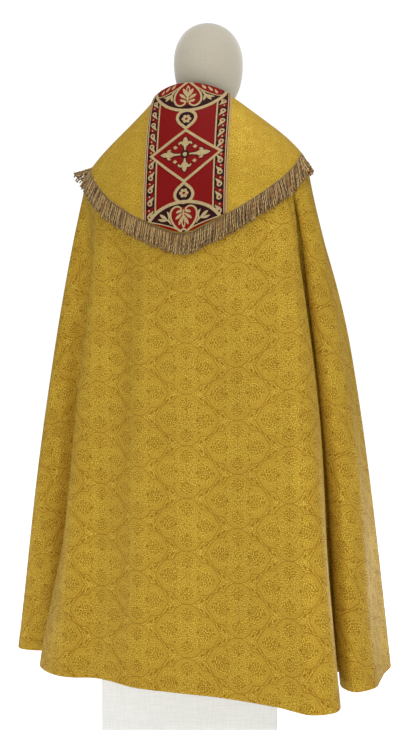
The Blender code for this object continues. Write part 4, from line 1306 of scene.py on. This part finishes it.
def grow(name, points, directions, tree, values):
    """Run a Geometry Nodes tree on points with named directions; keep a plain mesh object."""
    guide = bpy.data.meshes.new(name + "_guide")
    guide.from_pydata(np.asarray(points).reshape(-1, 3).tolist(), [], [])
    for label, vectors in directions.items():
        layer = guide.attributes.new(label, "FLOAT_VECTOR", "POINT")
        layer.data.foreach_set("vector", np.asarray(vectors, np.float32).ravel())
    holder = link_object(name + "_guide", guide)
    modifier = holder.modifiers.new(name, "NODES")
    modifier.node_group = tree
    for item in tree.interface.items_tree:
        if item.item_type == "SOCKET" and item.in_out == "INPUT" and item.name in values:
            modifier[item.identifier] = values[item.name]
    graph = bpy.context.evaluated_depsgraph_get()
    mesh = bpy.data.meshes.new_from_object(holder.evaluated_get(graph),
                                           preserve_all_data_layers=True, depsgraph=graph)
    holder.modifiers.remove(modifier)
    bpy.data.objects.remove(holder)
    bpy.data.meshes.remove(guide)
    if not mesh.polygons:
        raise RuntimeError(f"{name}: the tree made nothing")
    mesh.name = name
    mesh.shade_smooth()
    return link_object(name, mesh)


def spaced(points, pitch):
    """Which points of a fine line, as fractional indices, lie at an even pitch along it."""
    walked = walk(points)
    count = max(int(walked[-1] / pitch), 2)
    return np.interp((np.arange(count) + 0.5) * walked[-1] / count, walked, np.arange(len(points)))


def read_line(values, at):
    """Values of a fine line at fractional indices."""
    low = np.clip(at.astype(int), 0, len(values) - 2)
    share = (at - low).reshape((-1,) + (1,) * (values.ndim - 1))
    return values[low] * (1 - share) + values[low + 1] * share


def finish_piece(obj, slot, *nodes):
    """Ride the root body and stand for the CAD nodes named; the slot is not used."""
    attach(obj, ROOT)
    if nodes:
        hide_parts(*nodes)
    return obj


# ---------------------------------------------------------------- sizes and colours
MEDALLION = "damask medallion"
DAMASK_WIDTH, DAMASK_HEIGHT = 234.0, 115.2      # mm, one repeat of the half-drop figure
DAMASK_START = (2.0, 1.1, 0.0)                  # mm, where the first medallion's middle lies
SKEW = -0.046                   # how far the crosswise threads drop as they run across
# The figure's quarter, in mm from a medallion's middle: the lobe, and the slopes beside it
# with their distances from the middle.
LOBE_MIDDLE, LOBE_RADIUS = (0.0, 23.2, 0.0), 34.4
DAMASK_SLOPES = (((0.0, 1.0, 0.0), 35.0), ((0.848, 0.530, 0.0), 63.8))
SHOULDER_ROUND = 17.0
DAMASK_DOTS = ((6.2, 0.0, 1.5), (0.0, 7.4, 1.5), (24.4, 0.0, 2.8), (60.6, 0.0, 2.3),
               (0.0, 23.2, 2.5), (28.0, 27.5, 2.1), (26.0, 17.0, 1.5))
# Fans of dots: root, middle, reach both ways, petals round and spacing of the rings.
DAMASK_FANS = (((22.0, 0.0), (42.0, 0.0), (20.0, 15.5), 12.0, 6.7),
               ((0.0, 20.5), (0.0, 36.0), (15.5, 13.5), 10.0, 6.0))
# Dashes: middle and reach along and across the gap, once turned by the angle.
DASH_ANGLE = -math.radians(131.3)
DAMASK_DASHES = (((-47.6, -69.2), (4.6, 1.5)), ((-33.9, -66.0), (6.5, 1.2)),
                 ((0.1, -61.0), (6.5, 1.2)), ((13.2, -57.4), (4.6, 1.5)))
# Spots where the damask's painted glints gather, and their reach in mm.
DAMASK_STARS, STAR_REACH = ((94.0, 0.0), (24.3, 57.6)), (15.0, 6.0)
# The outline of each medallion, and a fainter line outside it: how far out, half width, weight.
DAMASK_OUTLINES = ((0.0, 0.9, 0.90), (5.0, 0.8, 0.50))
# The fringe at the points of the shoulders: turn, how wild and how far it stands out.
LOOSE_POINTS = ((-83.0, 1.7, 0.90), (84.0, 1.8, 0.10))
LOOSE_WIDTH = 6.0                               # degrees
FRINGE_PLY_TURNS = 9.0                          # bands of the twist along a strand
STRAND_SECTION = (1.22, 0.82)                   # its two half-widths, in parts of the radius
STRAND_LENGTHS = (0.90, 1.06)                   # shortest and longest, in parts of the length


def colour(name, description, hexed):
    return FloatVectorProperty(name=name, description=description, default=linear(hexed),
                               subtype="COLOR", min=0.0, max=1.0)


def length(name, description, default, low, high):
    return FloatProperty(name=name, description=description, default=default, min=low, max=high,
                         unit="LENGTH")


def number(name, description, default, low, high):
    return IntProperty(name=name, description=description, default=default, min=low, max=high)


class ClothSettings(bpy.types.PropertyGroup):
    """Sizes and colours of the damask and its lining"""

    columns: number("Columns", "Columns of the mantle's mesh", 330, 150, 380)
    rows: number("Rows", "Rows of the mantle's mesh below the shoulders", 92, 40, 110)
    hem: length("Hem", "Depth of the turned hem", 0.025, 0.005, 0.06)
    repeat: length("Repeat", "Height of one repeat of the damask", 0.1152, 0.05, 0.3)
    ground: colour("Ground", "Satin ground of the damask", "#ba9128")
    ground_dark: colour("Ground, darker", "Darker areas of the ground", "#ad8322")
    plain: colour("Plain", "Long floats inside the outlines", "#bc9432")
    # Painted highlight: the paler yellow of the damask's glint specks, which also tints its sheen
    # and specular.
    light: colour("Lights", "Bright floats of the satin", "#e8cc58")
    figure: colour("Figure", "The woven figure's lines", "#86520a")


class TrimSettings(bpy.types.PropertyGroup):
    """Sizes and colours of the orphrey, the fringe and the stitching"""

    strand_length: length("Strand length", "Length of a fringe strand", 0.0490, 0.01, 0.1)
    strand_radius: length("Strand radius", "Half the width of a strand", 0.0019, 0.0005, 0.004)
    strand_pitch: length("Strand spacing", "Distance between strands", 0.0050, 0.002, 0.01)
    wildness: length("Wildness", "How far the strands stray at their ends", 0.012, 0.0, 0.03)
    stitch_pitch: length("Stitch spacing", "Distance between stitches", 0.0045, 0.002, 0.02)
    red: colour("Orphrey red", "Ground of the orphrey", "#970c0a")
    maroon: colour("Orphrey maroon", "Dark parts of the orphrey", "#380c14")
    gold: colour("Gold thread", "Embroidery thread", "#e2ce9d")
    fringe: colour("Fringe", "Strands of the fringe", "#8c5f25")
    fringe_dark: colour("Fringe, darker", "Darker strands", "#432812")
    # Painted highlight on the backs of the fringe's plies.
    fringe_painted_highlight: colour("Fringe, lights", "Backs of the plies", "#dcba7a")


class FormSettings(bpy.types.PropertyGroup):
    """Sizes and colours of the display form and its stand"""

    sides: number("Sides", "Columns of the form's mesh", 160, 48, 320)
    seam: length("Seam", "Depth of the seam down the back of the head", 0.0011, 0.0, 0.004)
    linen: colour("Form linen", "Linen cover of the form", "#aca594")
    block: colour("Block linen", "Linen cover of the block", "#d9d9d5")


# ---------------------------------------------------------------- operators
class COPE_OT_mantle(bpy.types.Operator):
    """Make the mantle: the half-disc of damask, lined, with turned hems"""

    bl_idname = "cope.mantle"
    bl_label = "Mantle"

    def execute(self, context):
        cloth = context.scene.cope_cloth
        # Columns lie closest where an edge laps over a valley.
        fine = np.linspace(0.0, MANTLE.end, 4001)
        dense = 1.0 + sum(LAP_DENSITY * np.exp(-((fine - lap[0]) / LAP_REACH) ** 2)
                          for lap in MANTLE.laps)
        walked = np.cumsum(dense)
        places = np.interp(np.linspace(walked[0], walked[-1], cloth.columns), walked, fine)
        levels = np.concatenate([np.linspace(0.0, 1.0, SHOULDER_ROWS)[:-1],
                                 np.linspace(1.0, 2.0, cloth.rows)])
        points = MANTLE.point(places[None, :], levels[:, None])
        middle = int(np.argmin(np.abs(places - MANTLE.place(HOOD_TURN))))
        uv = flat_map(points, middle, cut_angles(MANTLE.turn(places)), walk(points[:, middle]))
        # The hems are turned to the inside, so the wall is thicker along them.
        to_foot = (2.0 - levels)[:, None] * HANG_LENGTH
        to_edge = np.minimum(places, MANTLE.end - places)[None, :]
        near = np.minimum(np.where(levels[:, None] > 1.0, to_foot, np.inf), to_edge)
        turned = 1.0 - ease(near, cloth.hem * 0.9, cloth.hem * 1.1)[..., None]
        normals = grid_normals(points)
        made = add_shell("cope_mantle", points + normals * (WALL / 2 + HEM_OUT * turned),
                         points - normals * (WALL / 2 + HEM_IN * turned), uv,
                         [damask_material("gold damask", 0.66), lining_material()])
        finish_piece(made, "gold_damask", "mantle")
        return {"FINISHED"}


class COPE_OT_hood(bpy.types.Operator):
    """Make the hood: the shield of damask that lies on the mantle from breast to breast"""

    bl_idname = "cope.hood"
    bl_label = "Hood"

    def execute(self, context):
        rows, columns = HOOD_GRID
        places = np.linspace(*(MANTLE.place(end[1]) for end in (HOOD_EDGE[0], HOOD_EDGE[-1])),
                             columns)
        turns = MANTLE.turn(places)
        reaches = np.linspace(0.0, 1.0, rows)[:, None] * hood_reach(turns)[None, :]
        levels = MANTLE.level_at(places, reaches)
        push = MANTLE.swell(places[None, :], levels, MANTLE.placed(HOOD_SWELLS))
        outer, inner = (MANTLE.lifted(places[None, :], levels, lift + push)
                        for lift in (HOOD_HIGH, HOOD_LOW))
        middle = int(np.argmin(np.abs(turns - HOOD_TURN)))
        # Each row lies at its own share of a falling edge, so its slope turns the walk.
        rise = np.gradient(reaches, axis=1)
        steps = np.linalg.norm(np.gradient(outer, axis=1), axis=-1)
        slope = np.arcsin(np.clip(-rise / np.maximum(steps, 1e-6), -1.0, 1.0))
        uv = flat_map(outer, middle, cut_angles(turns)[None, :] + slope, reaches[:, middle])
        # Laid smooth over the shoulders, the hood takes the light evenly and its figure fades.
        made = add_shell("cope_hood", outer, inner, uv,
                         [damask_material("gold damask, hood", 0.30),
                          bpy.data.materials["gold satin lining"]])
        finish_piece(made, "gold_damask", "hood")
        return {"FINISHED"}


class COPE_OT_orphrey(bpy.types.Operator):
    """Make the orphrey: the red band on the hood, and its maroon, red and gold ornament"""

    bl_idname = "cope.orphrey"
    bl_label = "Orphrey"

    def execute(self, context):
        trim = context.scene.cope_trim
        rows, columns = BAND_GRID
        across = np.linspace(-BAND_HALF_WIDTH, BAND_HALF_WIDTH, columns)
        down = np.linspace(0.0, 1.0, rows)[:, None] * PANEL.edge(across)[None, :]
        across = np.broadcast_to(across, down.shape)
        outer, inner = (PANEL.point(across, down, lift)
                        for lift in (BAND_TOP, BAND_TOP - BAND_WALL))
        # The second colour of each is the painted shade between its threads.
        red = embroidery_material("red rayon rep", trim.red, linear("#6c0706"), 0.66, 1.0, 0.0002)
        maroon = embroidery_material("maroon rayon rep", trim.maroon, linear("#260a10"), 0.70,
                                     1.0, 0.0002)
        gold = embroidery_material("gold thread in satin stitch", trim.gold, linear("#97794a"),
                                   0.46, 1.1, 0.0003)
        band = add_shell("cope_orphrey", outer, inner, np.stack([across, down], axis=-1), [red])
        finish_piece(band, "red_orphrey", "orphrey")
        masks = [[rhombus(FRAME_WIDTH / 2)], half_round(True, None, 4.0),
                 half_round(False, None, 4.0)]
        # Each layer's material, how far it is sunk and raised in metres, slot and left-out shapes.
        for layer, material, low, high, slot, eyes in (
                ("maroon", maroon, 0.0000, 0.0003, "red_orphrey", ()),
                ("red", red, 0.0001, 0.0006, "red_orphrey", ornament("ground")),
                ("gold", gold, 0.0001, GOLD_HEIGHT, "gold_fringe", ornament("eyes")),
                ("eyes", red, 0.0001, 0.0007, "red_orphrey", ())):
            made = add_patch("orphrey_" + layer, ornament(layer), BAND_TOP - low, BAND_TOP + high,
                             [material], eyes, border(layer), masks)
            finish_piece(made, slot)
        return {"FINISHED"}


class COPE_OT_fringe(bpy.types.Operator):
    """Make the fringe: twisted strands under a heading cord along the hood's edge"""

    bl_idname = "cope.fringe"
    bl_label = "Fringe"

    def execute(self, context):
        trim = context.scene.cope_trim
        material = fringe_material()
        places = np.linspace(MANTLE.place(HOOD_EDGE[0][1] + FRINGE_INSET),
                             MANTLE.place(HOOD_EDGE[-1][1] - FRINGE_INSET), EDGE_POINTS)
        reach = hood_reach(MANTLE.turn(places))
        root_level, tip_level = (MANTLE.level_at(places, (reach + down)[None, :])[0]
                                 for down in FRINGE_REACH)
        swell = np.maximum(MANTLE.swell(places, tip_level, MANTLE.swells), 0.0)
        rows = []
        for along, root_lift, tip_lift in FRINGE_ROWS:
            root = MANTLE.lifted(places, root_level, root_lift)
            tip = MANTLE.lifted(places, tip_level, tip_lift + swell)
            at = spaced(root, trim.strand_pitch)
            at = np.clip(at + along * (at[1] - at[0]), 0, len(places) - 1.001)
            way = unit(read_line(tip, at) - read_line(root, at))
            out = MANTLE.normal(read_line(places, at), read_line(root_level, at))
            # Strands that hang off the points of the shoulders lie the loosest.
            turn = MANTLE.turn(read_line(places, at))
            loose = np.ones(len(turn))
            for point_turn, stray, splay in LOOSE_POINTS:
                near = np.exp(-((turn - point_turn) / LOOSE_WIDTH) ** 2)
                loose = loose + stray * near
                way = unit(way + out * (splay * near)[:, None])
            rows.append((read_line(root, at), -way, out, np.repeat(loose[:, None], 3, axis=1)))
        points, up, out, loose = (np.concatenate(parts) for parts in zip(*rows))
        values = {"Strand Length": trim.strand_length, "Strand Radius": trim.strand_radius,
                  "Twist": 12.0, "Wildness": trim.wildness, "Seed": 7, "Material": material}
        strands = grow("cope_fringe", points, {"up": up, "out": out, "loose": loose},
                       strands_tree(), values)
        finish_piece(strands, "gold_fringe", "fringe")
        # The heading is a gimp cord that hides the strands' roots.
        section = 2 * math.pi * np.arange(10) / 10
        places = places[::2]
        head_level = MANTLE.level_at(places, (reach - 0.0006)[None, ::2])[0]
        line, below = (MANTLE.lifted(places, level, HOOD_HIGH + CORD_LIFT)
                       for level in (head_level, head_level + 0.01))
        out, side = unit(MANTLE.normal(places, head_level)), unit(below - line)
        walked = walk(line)
        ribbed = np.cos(section[None, :] * 2 + walked[:, None] * CORD_RIBS)
        bulge = CORD_RADIUS * (1.0 + CORD_RIB_DEPTH * ribbed)
        rings = (line[:, None] + out[:, None] * (np.cos(section)[None, :] * bulge)[..., None]
                 + side[:, None] * (np.sin(section)[None, :] * bulge)[..., None])
        flat = np.stack([np.tile(section / (2 * math.pi), len(line)),
                         np.repeat(walked * CORD_LENGTHS, 10)], axis=-1)
        flat = np.concatenate([flat, [[0.0, 0.0], [0.0, walked[-1] * CORD_LENGTHS]]])
        cord = add_stack("fringe_heading", rings, line[0], line[-1], [material], flat)
        finish_piece(cord, "gold_fringe")
        return {"FINISHED"}


class COPE_OT_stitching(bpy.types.Operator):
    """Make the stitching along the hem, the front edges and the sides of the orphrey"""

    bl_idname = "cope.stitching"
    bl_label = "Stitching"

    def execute(self, context):
        trim, cloth = context.scene.cope_trim, context.scene.cope_cloth
        # The second colour is the painted shade between the threads.
        thread = embroidery_material("gold sewing thread", linear("#b8923e"), linear("#8a6a26"),
                                     0.5, 1.0, 0.0001)
        tree = stitches_tree()

        def stitch(name, lines, pitch, stitch_length):
            """Stitches at an even pitch along lines, each given with its way out of the cloth."""
            found = []
            for line, out in lines:
                at = spaced(line, pitch)
                found.append((read_line(line, at), read_line(out, at),
                              unit(read_line(np.gradient(line, axis=0), at))))
            points, outs, ways = (np.concatenate(parts) for parts in zip(*found))
            values = {"Stitch Length": stitch_length, "Stitch Thickness": STITCH_THICKNESS,
                      "Material": thread}
            made = grow(name, points, {"way": ways, "out": outs}, tree, values)
            finish_piece(made, "gold_damask")

        level = 2.0 - cloth.hem / HANG_LENGTH
        runs = [(np.linspace(0.03, MANTLE.end - 0.03, HEM_POINTS), np.full(HEM_POINTS, level))]
        runs += [(np.full(EDGE_POINTS, edge), np.linspace(0.02, level, EDGE_POINTS))
                 for edge in (EDGE_STITCHES, MANTLE.end - EDGE_STITCHES)]
        lines = []
        for place, levels in runs:
            out = MANTLE.normal(place, levels, MANTLE.point)
            lines.append((MANTLE.point(place, levels) + out * (WALL / 2 + STITCH_LIFT), out))
        stitch("hem_stitches", lines, trim.stitch_pitch, HEM_STITCH)
        down, lines = np.linspace(0.004, 0.33, BAND_POINTS), []
        for across in (-BAND_HALF_WIDTH + BAND_STITCH_INSET, BAND_HALF_WIDTH - BAND_STITCH_INSET):
            line, above = (PANEL.point(np.full(BAND_POINTS, across), down, BAND_TOP + lift)
                           for lift in (GOLD_HEIGHT, 0.01))
            lines.append((line, unit(above - line)))
        stitch("orphrey_stitches", lines, BAND_STITCH_PITCH, BAND_STITCH)
        return {"FINISHED"}


class COPE_OT_clasp(bpy.types.Operator):
    """Finish the brass clasp at the breast"""

    bl_idname = "cope.clasp"
    bl_label = "Clasp"

    def execute(self, context):
        brass = brass_material()
        for node in ("clasp_left", "clasp_right", "clasp_bar"):
            give_material(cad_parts[node], brass)
        return {"FINISHED"}


# The form's head and neck, and its torso, as level ellipses from the crown down: z, half
# width, half depth and y. The torso's first row only steers the curve under the shoulders.
HEAD_X = 0.006
HEAD_ROWS = (
    (1.6860, 0.0001, 0.0001, 0.030), (1.682, 0.027, 0.031, 0.030), (1.669, 0.051, 0.059, 0.030),
    (1.649, 0.069, 0.080, 0.030), (1.624, 0.080, 0.094, 0.030), (1.595, 0.084, 0.099, 0.030),
    (1.560, 0.082, 0.096, 0.030), (1.528, 0.075, 0.086, 0.029), (1.500, 0.064, 0.072, 0.024),
    (1.472, 0.057, 0.061, 0.016), (1.446, 0.060, 0.064, 0.008),
)
TORSO_ROWS = ((1.210, 0.226, 0.136, -0.002), (1.180, 0.208, 0.126, 0.000),
              (1.080, 0.180, 0.118, 0.002), (0.960, 0.142, 0.102, 0.004),
              (0.860, 0.158, 0.112, 0.004), (0.815, 0.150, 0.106, 0.004))
RINGS_BETWEEN = 6               # rings of the mesh from one row to the next
SEAT_GAP = 0.0016               # between the form's shoulders and the cloth
SEAM_TURN = 12.0
SEAM_LIPS, SEAM_GROOVE = (0.45, 4.0), (1.2, 1.3)        # parts of its depth, and degrees
COLLAR_LEVEL, COLLAR_IN, COLLAR_DOWN = 0.10, 0.012, 0.024


class COPE_OT_form(bpy.types.Operator):
    """Make the display form: a smooth head, neck and limbless torso under linen"""

    bl_idname = "cope.form"
    bl_label = "Display form"

    def execute(self, context):
        form = context.scene.cope_form
        turns = 360.0 * np.arange(form.sides) / form.sides
        sine, cosine = np.sin(np.radians(turns)), np.cos(np.radians(turns))

        def ellipses(rows, x):
            """Rings between the rows of a table, smooth from one row to the next."""
            last = len(rows) - 1
            at = np.linspace(0.0, last, last * RINGS_BETWEEN + 1)
            z, wide, deep, y = (Curve(range(len(rows)), column).at(at)[:, None]
                                for column in zip(*rows))
            return np.stack(np.broadcast_arrays(x + wide * sine, y - deep * cosine, z), axis=-1)

        head = ellipses(HEAD_ROWS, HEAD_X)[1:]
        # The seam down the back of the head is a narrow groove between two soft lips.
        off = (turns - SEAM_TURN + 180.0) % 360.0 - 180.0
        lips, groove = (height * np.exp(-(off / width) ** 2)
                        for height, width in (SEAM_LIPS, SEAM_GROOVE))
        push = form.seam * (lips - groove)
        outward = unit((head - head.mean(axis=1, keepdims=True)) * (1.0, 1.0, 0.0))
        head = head + outward * push[None, :, None]
        seats = []
        for level in np.arange(0.24, 0.68, 0.03):
            normal = unit(np.cross(shoulder_point(turns, level + 0.01)
                                   - shoulder_point(turns, level - 0.01),
                                   shoulder_point(turns + 0.5, level)
                                   - shoulder_point(turns - 0.5, level)))
            seats.append(shoulder_point(turns, level) - normal * (WALL / 2 + SEAT_GAP))
        collar = shoulder_point(turns, COLLAR_LEVEL)
        inward = unit((collar.mean(axis=0) - collar) * (1.0, 1.0, 0.0))
        collar = collar + inward * COLLAR_IN - np.array([0.0, 0.0, COLLAR_DOWN])
        joints = [head[-7], head[-1], collar, seats[0], seats[0]]
        neck, base = ([through(*joints[k:k + 4], share) for share in (0.25, 0.5, 0.75)]
                      for k in (0, 1))
        torso = ellipses(TORSO_ROWS, 0.0)[RINGS_BETWEEN:]
        rings = np.concatenate([head, neck, [collar], base, seats, torso]) + AXIS
        linen = linen_material("form linen", form.linen, linear("#a39c8b"), 1.2, 1.2)
        (crown, *_, crown_y), (foot, *_, foot_y) = HEAD_ROWS[0], TORSO_ROWS[-1]
        made = add_stack("display_form", rings, AXIS + np.array([HEAD_X, crown_y, crown]),
                         AXIS + np.array([0.0, foot_y, foot]), [linen])
        finish_piece(made, "form_linen", "form")
        return {"FINISHED"}


def give_material(node, material):
    """Give a carried-over CAD node its finish."""
    node.data.materials.clear()
    node.data.materials.append(material)


def rounded_box(size, radius, cells):
    """A box with rounded edges, as points and faces."""
    half = np.array(size) / 2
    points, faces, index = [], [], {}
    for axis in range(3):
        u, v = (axis + 1) % 3, (axis + 2) % 3
        cuts = []
        for k in (u, v):
            flat = np.linspace(-half[k] + radius, half[k] - radius, cells)
            corner = radius * (1 - np.cos(np.linspace(0, math.pi / 2, 5)[:-1]))
            cuts.append(np.concatenate([-half[k] + corner, flat, (half[k] - corner)[::-1]]))
        for sign in (-1, 1):
            grid = []
            for a in cuts[0]:
                row = []
                for b in cuts[1]:
                    spot = np.zeros(3)
                    spot[axis], spot[u], spot[v] = sign * half[axis], a, b
                    core = np.clip(spot, -half + radius, half - radius)
                    spot = core + radius * unit(spot - core)
                    key = tuple(np.round(spot, 6))
                    if key not in index:
                        index[key] = len(points)
                        points.append(spot)
                    row.append(index[key])
                grid.append(row)
            for upper, lower in zip(grid, grid[1:]):
                for a, b, c, d in zip(upper, lower, lower[1:], upper[1:]):
                    corners = tuple(dict.fromkeys((a, b, c, d)))
                    if len(corners) > 2:
                        faces.append(corners[::sign])
    return np.array(points), faces


BLOCK_SIZE, BLOCK_EDGE = (0.405, 0.340, 0.300), 0.004
BLOCK_PLACE = (-0.031, 0.0, 0.0)
VIEW_TURN = 18.0                # degrees: how far round the block, the camera and the lamps turn
EYE_DISTANCE, EYE_HEIGHT = 2.6, 0.82
FOCAL_SHARE = 1060.0 / 750.0    # the focal length in parts of the picture's height
SENSOR = 36.0                   # mm
# Lamps: sideways and back from the axis, as the camera sees it, height, watts and size.
LAMPS = (
    ("key", 0.0, 3.2, 0.5, 37.0, 1.4), ("top", 0.2, 0.6, 3.6, 40.0, 1.4),
    ("left", -3.0, 1.6, 0.6, 11.0, 1.4), ("right", 3.0, 1.6, 0.6, 14.0, 1.4),
    # The lit paper throws light back up at the sides of the hem.
    ("left_bounce", -1.2, -0.15, 0.12, 2.6, 0.8), ("right_bounce", 1.4, -0.7, 0.2, 6.0, 0.8),
)
LAMP_AIM = 0.95


class COPE_OT_stand(bpy.types.Operator):
    """Make the stand: the enamelled pole and the linen-covered block"""

    bl_idname = "cope.stand"
    bl_label = "Stand"

    def execute(self, context):
        form = context.scene.cope_form
        give_material(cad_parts["pole"], enamel_material())
        points, faces = rounded_box(BLOCK_SIZE, BLOCK_EDGE, 24)
        turn = math.radians(VIEW_TURN)
        x = points[:, 0] * math.cos(turn) - points[:, 1] * math.sin(turn)
        y = points[:, 0] * math.sin(turn) + points[:, 1] * math.cos(turn)
        points = np.stack([x, y, points[:, 2] + BLOCK_SIZE[2] / 2], axis=-1) + AXIS + BLOCK_PLACE
        linen = linen_material("block linen", form.block, linear("#c9c9c5"), 1.8, 3.0)
        made = new_object("linen_block", points, faces, [linen], sharp=60)
        finish_piece(made, "block_linen", "block")
        return {"FINISHED"}


class COPE_OT_stage(bpy.types.Operator):
    """Set the stage: a pale floor, soft studio light and the camera"""

    bl_idname = "cope.stage"
    bl_label = "Stage"

    def execute(self, context):
        scene = context.scene
        floor = new_object("floor", [(-12, -12, 0), (12, -12, 0), (12, 12, 0), (-12, 12, 0)],
                           [(0, 1, 2, 3)], [paper_material()])
        # The paper's own glow lights the paper and the linen, and not the damask from below.
        glow = bpy.data.collections.new("lit by the paper")
        for lit in (floor, bpy.data.objects["linen_block"], bpy.data.objects["display_form"]):
            glow.objects.link(lit)
        floor.light_linking.receiver_collection = glow
        world = bpy.data.worlds.new("studio")
        world.use_nodes = True
        tree = world.node_tree
        sky = next(node for node in tree.nodes if node.type == "BACKGROUND")
        sky.inputs["Color"].default_value = (1.0, 1.0, 1.0, 1.0)
        # The paper behind is lit by lamps of its own, so it is brighter than its light here.
        rays = add_node(tree, "ShaderNodeLightPath").outputs["Is Camera Ray"]
        strength = ramp(tree, rays, 0.0, 1.0, 0.30, 1.05)
        tree.links.new(strength.outputs[0], sky.inputs["Strength"])
        scene.world = world
        turn = math.radians(VIEW_TURN)
        # Each lamp is a soft box that faces the object.
        for name, side, back, height, power, size in LAMPS:
            light = bpy.data.lights.new(name, "AREA")
            light.energy, light.size = power, size
            made = link_object(name, light)
            made.location = (AXIS[0] + side * math.cos(turn) + back * math.sin(turn),
                             AXIS[1] + side * math.sin(turn) - back * math.cos(turn), height)
            aim = np.array([AXIS[0], AXIS[1], LAMP_AIM]) - np.array(made.location)
            made.rotation_mode = "QUATERNION"
            made.rotation_quaternion = Vector(aim).to_track_quat("-Z", "Y")
        camera = bpy.data.cameras.new("camera")
        camera.sensor_width, camera.lens = SENSOR, FOCAL_SHARE * SENSOR
        eye = link_object("camera", camera)
        eye.location = (AXIS[0] + EYE_DISTANCE * math.sin(turn),
                        AXIS[1] - EYE_DISTANCE * math.cos(turn), EYE_HEIGHT)
        eye.rotation_euler = (math.radians(90.0), 0.0, turn)
        scene.camera = eye
        scene.view_settings.view_transform = "Standard"
        return {"FINISHED"}


class COPE_OT_declare(bpy.types.Operator):
    bl_idname = "cope.declare"
    bl_label = "Declare the cloth"

    def execute(self, context):
        return {"FINISHED"}


class COPE_PT_panel(bpy.types.Panel):
    """The cope's settings and the operators that make its pieces"""

    bl_idname = "COPE_PT_panel"
    bl_label = "Cope"
    bl_space_type = "VIEW_3D"
    bl_region_type = "UI"
    bl_category = "Cope"

    def draw(self, context):
        layout = self.layout
        for title, group in (("Cloth", context.scene.cope_cloth),
                             ("Trim", context.scene.cope_trim),
                             ("Form", context.scene.cope_form)):
            box = layout.box()
            box.label(text=title)
            for name in group.__annotations__:
                box.prop(group, name)
        for operator in OPERATORS:
            layout.operator(operator.bl_idname)


GROUPS = (("cope_cloth", ClothSettings), ("cope_trim", TrimSettings), ("cope_form", FormSettings))
OPERATORS = (COPE_OT_mantle, COPE_OT_hood, COPE_OT_orphrey, COPE_OT_fringe, COPE_OT_stitching,
             COPE_OT_clasp, COPE_OT_form, COPE_OT_stand, COPE_OT_stage, COPE_OT_declare)


def register():
    for name, group in GROUPS:
        bpy.utils.register_class(group)
        setattr(bpy.types.Scene, name, PointerProperty(type=group))
    for cls in OPERATORS + (COPE_PT_panel,):
        bpy.utils.register_class(cls)


def unregister():
    for cls in reversed(OPERATORS + (COPE_PT_panel,)):
        bpy.utils.unregister_class(cls)
    for name, group in reversed(GROUPS):
        delattr(bpy.types.Scene, name)
        bpy.utils.unregister_class(group)


def main():
    register()
    for operator in OPERATORS:
        group, name = operator.bl_idname.split(".")
        getattr(getattr(bpy.ops, group), name)()


if __name__ == "__main__":
    main()
